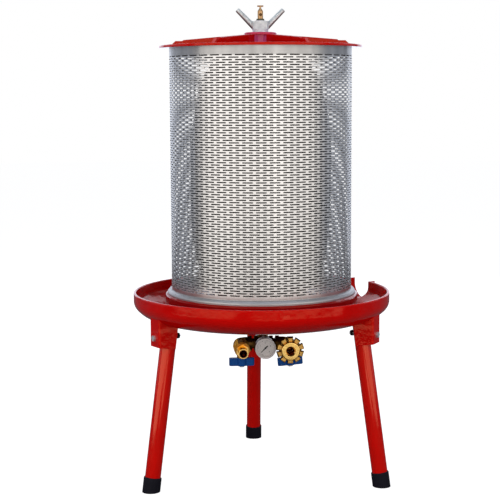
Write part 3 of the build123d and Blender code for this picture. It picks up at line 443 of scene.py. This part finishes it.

# Basket shell: one stainless sheet punched with staggered rows of slots, rolled to a cylinder
# and butt-welded down a plain strip at the back. The rolls leave faint upright bands, the mill leaves
# fine grain, and the plain band at the top is painted darker, as shade under the lid's overhang.
rolled, rolled_in, rolled_out = effect(
    "rolled_sheet", {"Band Scale": 40.0, "Grain Scale": 1300.0}, ("Bands", "Grain", "Relief")
)
roll_radius, band_rise, grain_turn, grain_share = 0.175, 2.5, 18.0, 0.04
x, y, z = axes(rolled)
front = calc(rolled, "MULTIPLY", y, -1.0)
turn = calc(rolled, "ARCTAN2", x, front)
round_way = calc(rolled, "MULTIPLY", turn, roll_radius)


def streaks(turn_scale, rise_scale, detail):
    """Noise with one scale round the sheet and another up it."""
    across = calc(rolled, "MULTIPLY", round_way, turn_scale)
    up = calc(rolled, "MULTIPLY", z, rise_scale)
    place = put(rolled, "CombineXYZ", X=across, Z=up).outputs[0]
    return put(rolled, "TexNoise", Vector=place, Scale=1.0, Detail=detail).outputs[0]


bands = streaks(rolled_in[0], band_rise, 1.5)
grain = streaks(grain_turn, rolled_in[1], 2.0)
both = put(rolled, "Mix", i0=grain_share, i2=bands, i3=grain).outputs[0]
feed(rolled, (bands, grain, both), rolled_out)

sheet_bright = (0.54, 0.538, 0.535), (0.64, 0.636, 0.63)
sheet_lid_shade = (0.20, 0.199, 0.198), (0.50, 0.498, 0.494)
lid_shade_fade = (0.814, 0.817)
stainless, tree, shader = finish("stainless", Metallic=1.0, Anisotropic=0.35)
skin = put(tree, "Group", node_tree=rolled, Band_Scale=42.0, Grain_Scale=1300.0).outputs
bright = blend(tree, skin["Bands"], *sheet_bright)
lid_shaded = blend(tree, skin["Bands"], *sheet_lid_shade)
# Painted shade: the plain band at the top, under the lid's overhang, is darkened.
tint(tree, shader, mask(tree, axes(tree)[2], lid_shade_fade), bright, lid_shaded)
sheen(tree, shader, skin["Grain"], 0.24, 0.40)
relief(tree, shader, skin["Relief"], 0.0005)

basket_low, basket_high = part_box("basket_shell")
basket_radius = basket_high.x
sheet_wall = 0.0015
slots_round, row_pairs = 44, 49
slot_pitch = tau * basket_radius / slots_round
row_pitch, bottom_row = 0.0045227, 0.3769
slot_half, slot_half_height, end_round = 0.010, 0.00118, 0.0008
web = slot_pitch / 2 - slot_half
seam_offset = 0.003
sheet_start = slot_half + seam_offset - slots_round / 2 * slot_pitch
seam_start = sheet_start + (slots_round - 1) * slot_pitch
top_row = bottom_row - slot_half_height + 2 * row_pairs * row_pitch
merge_gap, roll_gap, row_gap = 1e-5, 5e-5, 1e-4
punched_columns = (-slot_half, -web, web, slot_half, slot_pitch - slot_half)
plain_columns = (-slot_half, slot_pitch - slot_half)
punched_bands = (
    (-slot_half_height, 1), (0, 0), (slot_half_height, 1),
    (row_pitch - slot_half_height, 2), (row_pitch, 0), (row_pitch + slot_half_height, 2),
    (2 * row_pitch - slot_half_height, 1),
)
lower_bands = ((basket_low.z - bottom_row, 0), (-slot_half_height, 1))


def pick(piece, test, kind="VERT"):
    """Selects the corners, or the faces by their middles, that pass a test, and nothing else."""
    bpy.ops.object.mode_set(mode="OBJECT")
    bpy.context.view_layer.objects.active = piece
    bpy.context.tool_settings.mesh_select_mode = (kind == "VERT", False, kind == "FACE")
    mesh = piece.data
    for face in mesh.polygons:
        face.select = kind == "FACE" and test(face.center)
    for edge in mesh.edges:
        edge.select = False
    for corner in mesh.vertices:
        corner.select = kind == "VERT" and test(corner.co)
    bpy.ops.object.mode_set(mode="EDIT")


def sheet_cell(columns, bands, left):
    """Flat grid on the slots' ends and edges; a band is a height and the row that it edges, 0 for none."""
    across, up = len(columns) - 1, len(bands) - 1
    bpy.ops.mesh.primitive_grid_add(x_subdivisions=across, y_subdivisions=up, size=1)
    cell = bpy.context.object
    for corner in cell.data.vertices:
        column = columns[round((corner.co.x + 0.5) * across)]
        height, row = bands[round((corner.co.y + 0.5) * up)]
        if row == 1 and abs(column) > 2 * web:
            column += end_round if column != slot_half else -end_round
        if row == 2 and abs(column) < 2 * web:
            column += end_round if column > 0 else -end_round
        corner.co = (left + column, 0, bottom_row + height)
    return cell


def repeat(piece, count, step):
    """Copies a cell along a step, with its edges merged to the next one's."""
    modifier(piece, "ARRAY", count=count, use_relative_offset=False, use_constant_offset=True,
             constant_offset_displace=step, use_merge_vertices=True, merge_threshold=merge_gap)


def in_slot(middle):
    """Says whether a face of the first cell lies in a slot of either row."""
    across = middle.x - sheet_start
    up = middle.z - bottom_row
    in_first = abs(up) < slot_half_height and across < slot_half
    in_second = abs(up - row_pitch) < slot_half_height and abs(across) > web
    return in_first or in_second


basket = sheet_cell(punched_columns, punched_bands, sheet_start)
pick(basket, in_slot, "FACE")
bpy.ops.mesh.delete(type="FACE")
repeat(basket, row_pairs, (0, 0, 2 * row_pitch))
repeat(basket, slots_round - 1, (slot_pitch, 0, 0))
lower_edge = sheet_cell(punched_columns, lower_bands, sheet_start)
repeat(lower_edge, slots_round - 1, (slot_pitch, 0, 0))
seam = sheet_cell(plain_columns, punched_bands, seam_start)
repeat(seam, row_pairs, (0, 0, 2 * row_pitch))
seam_edge = sheet_cell(plain_columns, lower_bands, seam_start)
for piece in (lower_edge, seam, seam_edge, basket):
    piece.select_set(True)
bpy.context.view_layer.objects.active = basket
bpy.ops.object.join()
pick(basket, lambda co: abs(co.z - top_row) < row_gap)
bpy.ops.mesh.extrude_edges_move(TRANSFORM_OT_translate={"value": (0, 0, basket_high.z - top_row)})
bpy.ops.mesh.select_all(action="SELECT")
bpy.ops.mesh.remove_doubles(threshold=merge_gap)
modifier(basket, "SIMPLE_DEFORM", deform_method="BEND", deform_axis="Z", angle=tau)
bpy.ops.object.mode_set(mode="EDIT")
bpy.ops.mesh.select_all(action="SELECT")
bpy.ops.transform.translate(value=(0, -basket_radius, 0))
bpy.ops.mesh.remove_doubles(threshold=roll_gap)
bpy.ops.mesh.normals_make_consistent(inside=False)
modifier(basket, "SOLIDIFY", thickness=sheet_wall, offset=-1)
bpy.ops.object.shade_smooth_by_angle(angle=radians(30))
fit(basket, "basket_sheet", stainless, "stainless", "basket", "basket_shell")

# Base ring: a flared foot spun from thicker stainless sheet and spot-welded round the basket.
# Spinning leaves a satin surface with fine rings, duller than the rolled sheet.
spun_steel = lathed(
    "spun_steel", ring_scale=900.0, waver=0.5, colours=((0.44, 0.44, 0.445), (0.56, 0.56, 0.565)),
    gloss=(0.40, 0.56),
)
coat(spun_steel, "basket_base_ring")

# Seam weld: a bead laid up the plain strip at the back of the basket to close the rolled sheet.
# The arc leaves overlapping ripples, and its heat leaves them mottled from straw to grey.
weld_steel = mottled(
    "weld_steel", spots=(260.0, 1900.0, 0.5), colours=((0.34, 0.31, 0.29), (0.60, 0.57, 0.52)),
    gloss=(0.25, 0.45), depth=0.0001, Metallic=1.0,
)
ripple_pitch, ripple_swell, bead_half_width, bead_height, bead_sides = 0.0026, 1.2, 0.0028, 0.0011, 12
first_ripple, first_crest, bead_ends = 0.0025, 0.0021, 0.004
bpy.ops.mesh.primitive_cylinder_add(
    vertices=bead_sides, radius=bead_half_width, depth=ripple_pitch, end_fill_type="NOTHING",
    location=(0, 0, basket_low.z + first_ripple),
)
bead = bpy.context.object
bpy.ops.object.transform_apply()
bpy.ops.object.mode_set(mode="EDIT")
bpy.ops.mesh.select_all(action="SELECT")
bpy.ops.mesh.bisect(plane_co=(0, 0, basket_low.z + first_crest), plane_no=(0, 0, 1))
bpy.ops.transform.resize(value=(ripple_swell, ripple_swell, 1))
bpy.ops.mesh.select_all(action="SELECT")
bpy.ops.transform.resize(value=(bead_height / bead_half_width, 1, 1))
repeat(bead, int((basket_high.z - basket_low.z - bead_ends) / ripple_pitch), (0, 0, ripple_pitch))
bpy.ops.object.mode_set(mode="EDIT")
bpy.ops.mesh.select_all(action="SELECT")
bpy.ops.mesh.fill_holes(sides=bead_sides)
bpy.ops.object.mode_set(mode="OBJECT")
seam_turn = (seam_start - slot_half + slot_pitch / 2) / basket_radius - pi / 2
bead.matrix_world = Matrix.Rotation(seam_turn, 4, "Z") @ Matrix.Translation((basket_radius, 0, 0))
bpy.ops.object.transform_apply()
closed(bead)
bpy.ops.object.shade_smooth_by_angle(angle=radians(60))
fit(bead, "seam_weld", weld_steel, "stainless", "basket")


# Wing nut: a square steel block with two round arms, zinc-plated, on a plain thrust washer.
# Each arm is welded to the block's side, with a rippled bead round its root.
# The arms' undersides are painted darker, as shade under them.
def stain(material, amount, colour):
    """Lays a colour over a finish's base colour by a mask."""
    tree = material.node_tree
    shader = tree.nodes["Principled BSDF"]
    tint(tree, shader, amount, shader.inputs["Base Color"].links[0].from_socket, colour)


bright_zinc = mottled(
    "bright_zinc", spots=(150.0, 1700.0, 0.5), colours=((0.37, 0.44, 0.47), (0.93, 1.0, 1.0)),
    gloss=(0.30, 0.50), depth=0.00025, Metallic=0.45,
)
block_low, block_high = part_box("wing_nut")
_, arms_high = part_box("wing_arms")
arm_radius, arm_tilt = 0.0055, radians(45.5)
tip_reach = arms_high.x - arm_radius * sin(arm_tilt)
tip_height = arms_high.z - arm_radius * cos(arm_tilt)
arm_fade, underside_shade_fade = (block_high.x, block_high.x + 0.001), (0.0012, 0.0042)
arm_underside_shade = (0.035, 0.037, 0.042)
tree = bright_zinc.node_tree
x, _, z = axes(tree)
side = calc(tree, "ABSOLUTE", x)
inward = calc(tree, "SUBTRACT", tip_reach, side)
below = calc(tree, "SUBTRACT", tip_height, z)
lift = calc(tree, "MULTIPLY", inward, sin(arm_tilt))
drop = calc(tree, "MULTIPLY", below, cos(arm_tilt))
under = calc(tree, "SUBTRACT", drop, lift)
# Painted shade: the arms' undersides are darkened.
stain(bright_zinc, mask(tree, under, underside_shade_fade, mask(tree, side, arm_fade)), arm_underside_shade)
coat(bright_zinc, "thrust_washer", "wing_nut", "wing_arms")
root_bead, bead_ripples, bead_round, ripple_lift, root_squeeze = 0.0009, 26, 8, 0.00025, 0.18
for way, word in ((-1, "left"), (1, "right")):
    bpy.ops.mesh.primitive_torus_add(
        major_radius=arm_radius, minor_radius=root_bead, major_segments=2 * bead_ripples,
        minor_segments=bead_round, rotation=(0, pi / 2, 0),
    )
    bead = bpy.context.object
    bead.scale = (1 / cos(arm_tilt) - root_squeeze, 1, 1)
    bead.location = (way * block_high.x, 0, (block_low.z + block_high.z) / 2)
    bpy.ops.object.transform_apply()
    for number, corner in enumerate(bead.data.vertices):
        if number // bead_round % 2:
            corner.co.x += way * ripple_lift
    closed(bead)
    bpy.ops.object.shade_smooth_by_angle(angle=radians(60))
    fit(bead, f"arm_weld_{word}", weld_steel, "zinc", "wing_nut_body")

# Bleed cock: a small turned brass cock on the end of the pipe, with a side port and a T bar to open it.
# It is handled with wet hands, so its brass has dulled to a tan brown; painted shade darkens a ring round
# its port, and its flange is darker.
aged_brass = mottled(
    "aged_brass", spots=(170.0, 1900.0, 0.5), colours=((0.34, 0.19, 0.085), (0.60, 0.385, 0.20)),
    gloss=(0.26, 0.44), depth=0.00005, Metallic=0.85, Specular_Tint=(0.85, 0.60, 0.30, 1),
)
_, cock_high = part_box("bleed_body")
flange_top, port_height, port_reach = pipe_high.z + 0.0032, cock_high.z - 0.0070, 0.0024
darkening_edge, front_fade = 0.0006, (0.0, -0.001)
flange_darkening, port_shade = (0.085, 0.085, 0.065), (0.030, 0.014, 0.006)
tree = aged_brass.node_tree
x, y, z = axes(tree)
from_port = distance(tree, x, calc(tree, "SUBTRACT", z, port_height))
on_front = mask(tree, y, front_fade)
# Darker below the flange's top.
stain(aged_brass, mask(tree, z, (flange_top + darkening_edge, flange_top)), flange_darkening)
# Painted shade: a dark ring round the side port, on the front.
stain(aged_brass, mask(tree, from_port, (port_reach + darkening_edge, port_reach), on_front), port_shade)
coat(aged_brass, "bleed_body", "bleed_plug")

# Pipework under the tray: a galvanised supply elbow, a brass cross, nipples, elbows and two ball valves.
# The cross, nipples and elbows are painted almost black as shade under the tray, the stamped valve
# bodies are brown, and the glands, hose tail and coupling, turned last, are bright, with painted shade
# darkening a dark brown ring round their bores.
gold_edge = (0.80, 0.50, 0.16, 1)
bright_brass = mottled(
    "bright_brass", spots=(110.0, 1900.0, 0.5), colours=((0.56, 0.34, 0.085), (0.92, 0.64, 0.22)),
    gloss=(0.12, 0.26), depth=0.00003, Metallic=1.0, Specular_Tint=gold_edge,
)
valve_reach, valve_height = 0.045, 0.266
bore_fade, bore_shade = (0.0080, 0.0076), (0.17, 0.050, 0.022)
tree = bright_brass.node_tree
x, _, z = axes(tree)
from_side = calc(tree, "SUBTRACT", calc(tree, "ABSOLUTE", x), valve_reach)
from_level = calc(tree, "SUBTRACT", z, valve_height)
# Painted shade: a dark brown ring round the bores of the hose tail and coupling.
stain(bright_brass, mask(tree, distance(tree, from_side, from_level), bore_fade), bore_shade)
stamped_brass = mottled(
    "stamped_brass", spots=(75.0, 900.0, 0.4), colours=((0.17, 0.072, 0.015), (0.46, 0.25, 0.060)),
    gloss=(0.24, 0.42), depth=0.00022, Metallic=1.0, Specular_Tint=gold_edge,
)
# Painted shade: a near-black brass for the pipework in the tray's shade.
tray_shadow_brass = mottled(
    "tray_shadow_brass", spots=(75.0, 900.0, 0.4), colours=((0.020, 0.008, 0.003), (0.20, 0.10, 0.025)),
    gloss=(0.22, 0.40), depth=0.00022, Metallic=1.0, Specular_Tint=gold_edge,
)
coat(zinc_plate, "supply_elbow")
coat(
    tray_shadow_brass, "feed_nipple", "manifold_cross", "run_nipple_left", "run_nipple_right",
    "elbow_left", "elbow_right", "valve_nipples",
)
coat(stamped_brass, "drain_valve_body", "inlet_valve_body", "gauge_bourdon_tube")
coat(
    bright_brass, "drain_gland_nut", "inlet_gland_nut", "drain_valve_stem", "inlet_valve_stem",
    "hose_tail", "inlet_coupling",
)

# Swivel ring behind the coupling's disc: a cast brass ring with ten broad lugs for a spanner.
# The lugs taper to the front as they left the mould, with filed edges, and painted shade darkens the gaps
# and the ring's body behind the lug fronts.
ring_low, ring_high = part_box("coupling_ring")
ring_middle = (ring_low + ring_high) / 2
ring_long = ring_high.y - ring_low.y
ring_radius, ring_bore, ring_sides, face_step = 0.0215, 0.016, 60, 0.0046
lug_count, lug_width, lug_reach, filed_edge = 10, 0.0128, 0.0098, 0.0009
lug_taper, root_taper, lug_inset = 0.8, 0.7, 0.0012
lug_root = Vector((ring_middle.x, ring_low.y, ring_high.z - lug_inset - lug_reach))
lug_middle = lug_root.z + lug_reach / 2


def ring_disc(radius, front, back):
    """Solid disc on the ring's own axis between two depths."""
    bpy.ops.mesh.primitive_cylinder_add(
        vertices=ring_sides, radius=radius, depth=back - front, rotation=(pi / 2, 0, 0),
        location=(ring_middle.x, (front + back) / 2, ring_middle.z),
    )
    bpy.ops.object.transform_apply()
    return bpy.context.object


ring = ring_disc(ring_radius, ring_low.y + face_step, ring_high.y)
modifier(ring, "BEVEL", width=filed_edge, segments=2, limit_method="ANGLE", angle_limit=radians(40))
bpy.ops.mesh.primitive_cube_add(size=1, location=(ring_middle.x, ring_middle.y, lug_middle))
lugs = bpy.context.object
lugs.scale = (lug_width, ring_long, lug_reach)
bpy.ops.object.transform_apply()
pick(lugs, lambda co: co.z < lug_middle)
bpy.ops.transform.resize(value=(root_taper, 1, 1), center_override=lug_root)
pick(lugs, lambda co: co.y < ring_middle.y)
bpy.ops.transform.resize(value=(lug_taper, 1, lug_taper), center_override=lug_root)
modifier(lugs, "BEVEL", width=filed_edge, segments=2)
bpy.ops.object.mode_set(mode="EDIT")
bpy.ops.mesh.select_all(action="SELECT")
last_turn = tau * (lug_count - 1) / lug_count
bpy.ops.mesh.spin(steps=lug_count - 1, dupli=True, angle=last_turn, center=ring_middle, axis=(0, 1, 0))
combine(ring, lugs, "UNION")
combine(ring, ring_disc(ring_bore, ring_low.y - overrun, ring_high.y + overrun), "DIFFERENCE")
closed(ring)
bpy.ops.object.shade_smooth_by_angle(angle=radians(30))
ring_brass = mottled(
    "ring_brass", spots=(120.0, 900.0, 0.4), colours=((0.34, 0.17, 0.04), (0.72, 0.44, 0.12)),
    gloss=(0.20, 0.36), depth=0.0002, Metallic=1.0, Specular_Tint=gold_edge,
)
gap_shade_fade, gap_shade_share = (ring_low.y + 0.001, ring_low.y + face_step), 0.85
gap_shade = (0.030, 0.014, 0.005)
tree = ring_brass.node_tree
# Painted shade: the gaps between the lugs and the body behind them are darkened.
stain(ring_brass, mask(tree, axes(tree)[1], gap_shade_fade, gap_shade_share), gap_shade)
fit(ring, "lugged_ring", ring_brass, "brass", "swivel", "coupling_ring")

# Inside each valve: a chromed ball between two white plastic seats.
# Hard water has left a brown film on the chrome, and the seats are waxy and slightly stained.
ball_chrome = mottled(
    "ball_chrome", spots=(140.0, 2400.0, 0.3), colours=((0.20, 0.08, 0.045), (0.46, 0.22, 0.12)),
    gloss=(0.12, 0.28), Metallic=1.0,
)
seat_plastic = mottled(
    "seat_plastic", spots=(120.0, 1500.0, 0.3), colours=((0.70, 0.69, 0.65), (0.82, 0.81, 0.78)),
    gloss=(0.35, 0.5), Specular_IOR_Level=0.4,
)
coat(ball_chrome, "drain_valve_ball", "inlet_valve_ball")
coat(seat_plastic, "drain_valve_seats", "inlet_valve_seats")

# Valve handles: cast T handles dipped in blue enamel, each held to its stem by a plated screw.
# The dip coat is thick and soft-edged, with a slight orange peel.
blue_enamel = mottled(
    "blue_enamel", spots=(90.0, 700.0, 0.3), colours=((0.0015, 0.040, 0.205), (0.003, 0.062, 0.285)),
    gloss=(0.30, 0.45), depth=0.0003, Specular_IOR_Level=0.4, Specular_Tint=(0.3, 0.6, 1, 1),
)
coat(blue_enamel, "drain_handle", "inlet_handle")
coat(zinc_plate, "drain_handle_screw", "inlet_handle_screw")

# Pressure gauge: grey enamelled case and bezel, printed dial behind a clear lens, black needle.
# The scale runs clockwise over three quarters of a turn from a stop at the lower left.
gauge_enamel = mottled(
    "gauge_enamel", spots=(100.0, 1400.0, 0.5), colours=((0.62, 0.585, 0.585), (0.74, 0.70, 0.70)),
    gloss=(0.28, 0.42), depth=0.00012, Specular_IOR_Level=0.4,
)
dial_paper = mottled(
    "dial_paper", spots=(80.0, 3000.0, 0.3), colours=((0.90, 0.86, 0.85), (0.96, 0.92, 0.91)),
    gloss=(0.5, 0.65), Specular_IOR_Level=0.25,
)
dial_ink = mottled(
    "dial_ink", spots=(300.0, 4000.0, 0.4), colours=((0.008, 0.008, 0.010), (0.020, 0.020, 0.022)),
    gloss=(0.35, 0.55), Specular_IOR_Level=0.3,
)
lens_glass = mottled(
    "lens_glass", spots=(70.0, 900.0, 0.3), colours=((0.20, 0.21, 0.21), (0.30, 0.31, 0.31)),
    gloss=(0.02, 0.06), Alpha=0.06, IOR=1.5,
)
coat(gauge_enamel, "gauge_case", "gauge_bezel")
coat(dial_paper, "gauge_dial")
coat(dial_ink, "gauge_needle")
coat(lens_glass, "gauge_lens")

dial_low, dial_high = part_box("gauge_dial")
dial_middle = (dial_low + dial_high) / 2
scale_start, scale_sweep = radians(225), radians(270)
scale_radius, numeral_radius, numeral_size = 0.0154, 0.0102, 0.0040
fine_steps, fine_inner, fine_width = 40, 0.0142, 0.00022
main_steps, main_inner, main_width = 4, 0.0128, 0.00045
ink_depth = 0.00008


def scale_marks(inner, wide, steps):
    """Row of raised printed strokes, one at each step of the scale."""
    bpy.ops.mesh.primitive_plane_add(size=1, location=(0, 0, 0))
    mark = bpy.context.object
    mark.scale = (scale_radius - inner, wide, 1)
    mark.location = ((scale_radius + inner) / 2, 0, 0)
    bpy.ops.object.transform_apply()
    bpy.ops.object.mode_set(mode="EDIT")
    bpy.ops.mesh.select_all(action="SELECT")
    bpy.ops.mesh.extrude_region_move(TRANSFORM_OT_translate={"value": (0, 0, ink_depth)})
    bpy.ops.mesh.select_all(action="SELECT")
    bpy.ops.mesh.spin(steps=steps, dupli=True, angle=scale_sweep, center=(0, 0, 0), axis=(0, 0, 1))
    bpy.ops.object.mode_set(mode="OBJECT")
    mark.matrix_world = (
        Matrix.Translation((dial_middle.x, dial_low.y, dial_middle.z))
        @ Matrix.Rotation(pi / 2, 4, "X")
        @ Matrix.Rotation(scale_start - scale_sweep, 4, "Z")
    )
    bpy.ops.object.transform_apply()
    return mark


marks = [scale_marks(fine_inner, fine_width, fine_steps), scale_marks(main_inner, main_width, main_steps)]
for number in range(main_steps + 1):
    angle = scale_start - scale_sweep * number / main_steps
    bpy.ops.object.text_add()
    numeral = bpy.context.object
    numeral.data.body = str(number)
    numeral.data.size = numeral_size
    numeral.data.align_x = "CENTER"
    numeral.data.align_y = "CENTER"
    numeral.data.extrude = ink_depth / 2
    bpy.ops.object.convert(target="MESH")
    numeral.matrix_world = Matrix.Translation((
        dial_middle.x + numeral_radius * cos(angle),
        dial_low.y - ink_depth / 2,
        dial_middle.z + numeral_radius * sin(angle),
    )) @ Matrix.Rotation(pi / 2, 4, "X")
    bpy.ops.object.transform_apply()
    marks.append(numeral)
for piece in marks:
    piece.select_set(True)
bpy.context.view_layer.objects.active = marks[0]
bpy.ops.object.join()
closed(marks[0])
fit(marks[0], "dial_scale", dial_ink, "needle_black", "base")


# Studio: pale floor, white surround and soft lamps, seen by a camera where the photograph was taken.
# The floor and surround show white to the camera and stay dim in reflections, as a cut-out picture does.
def split_view(tree, others, seen, output):
    """Shows one shader to the camera and another to every other ray."""
    way = put(tree, "MixShader", Fac=put(tree, "LightPath").outputs["Is Camera Ray"])
    tree.links.new(others.outputs[0], way.inputs[1])
    tree.links.new(seen.outputs[0], way.inputs[2])
    tree.links.new(way.outputs[0], tree.nodes[output].inputs["Surface"])


bpy.ops.mesh.primitive_circle_add(vertices=96, radius=12, fill_type="NGON")
floor = bpy.context.object
floor.name = "studio_floor"
floor_paint, tree, shader = finish(
    "floor_paint", Base_Color=(0.25, 0.25, 0.25, 1), Roughness=0.9,
    Emission_Color=(1, 1, 1, 1), Emission_Strength=0.95,
)
dark = put(tree, "BsdfDiffuse", Color=(0.14, 0.14, 0.14, 1))
split_view(tree, dark, shader, "Material Output")
floor.data.materials.append(floor_paint)

surround = bpy.data.worlds.new("surround")
surround.use_nodes = True
tree = surround.node_tree
seen = put(tree, "Background", Color=(1, 1, 1, 1), Strength=1.0)
ambient = tree.nodes["Background"]
ambient.inputs["Color"].default_value = (0.86, 0.90, 1.0, 1)
ambient.inputs["Strength"].default_value = 0.16
split_view(tree, ambient, seen, "World Output")
bpy.context.scene.world = surround


def softbox(name, place, aim, wide, tall, radiance, colour):
    """Large soft lamp at a place, turned to a point and hidden from the camera."""
    lamp = bpy.data.lights.new(name, "AREA")
    lamp.shape = "RECTANGLE"
    lamp.size = wide
    lamp.size_y = tall
    lamp.energy = radiance * pi * wide * tall
    lamp.color = colour
    holder = bpy.data.objects.new(name, lamp)
    bpy.context.collection.objects.link(holder)
    holder.location = place
    holder.rotation_euler = (Vector(aim) - Vector(place)).to_track_quat("-Z", "Y").to_euler()
    holder.visible_camera = False


warm = (1.0, 0.95, 0.90)
cool = (0.80, 0.86, 1.0)
softbox("box_left", (-1.55, -1.2, 0.95), (0, 0, 0.9), 2.1, 1.84, 1.7, warm)
softbox("box_right", (1.3, -1.5, 0.95), (0, 0, 0.9), 2.1, 1.84, 1.5, warm)
softbox("box_front", (-0.1, -1.9, 0.61), (0, 0, 0.61), 1.5, 0.97, 1.6, warm)
softbox("card_left", (-2.2, 0.95, 1.0), (0, 0, 0.8), 1.9, 1.9, 0.50, cool)
softbox("card_right", (2.38, 0.33, 1.0), (0, 0, 0.8), 1.9, 1.9, 0.52, cool)
softbox("box_top", (0, 0, 2.6), (0, 0, 0.5), 2.2, 2.2, 1.3, cool)
softbox("box_back", (0.2, 2.6, 1.2), (0, 0, 0.9), 4.7, 2.35, 1.45, cool)
softbox("card_low", (0.04, -1.25, 0.075), (0.04, 0, 0.075), 0.5, 0.13, 1.4, warm)

bpy.context.scene.view_settings.view_transform = "Standard"
bpy.ops.object.camera_add()
camera = bpy.context.object
camera.data.lens = 94.85
camera.data.sensor_width = 36
stand = Matrix.Translation((-0.1853, -2.5522, 0.7484))
turn = Matrix.Rotation(radians(-3.66), 4, "Z") @ Matrix.Rotation(radians(83.168), 4, "X")
roll = Matrix.Rotation(radians(-0.287), 4, "Z")
camera.matrix_world = stand @ turn @ roll
bpy.context.scene.camera = camera
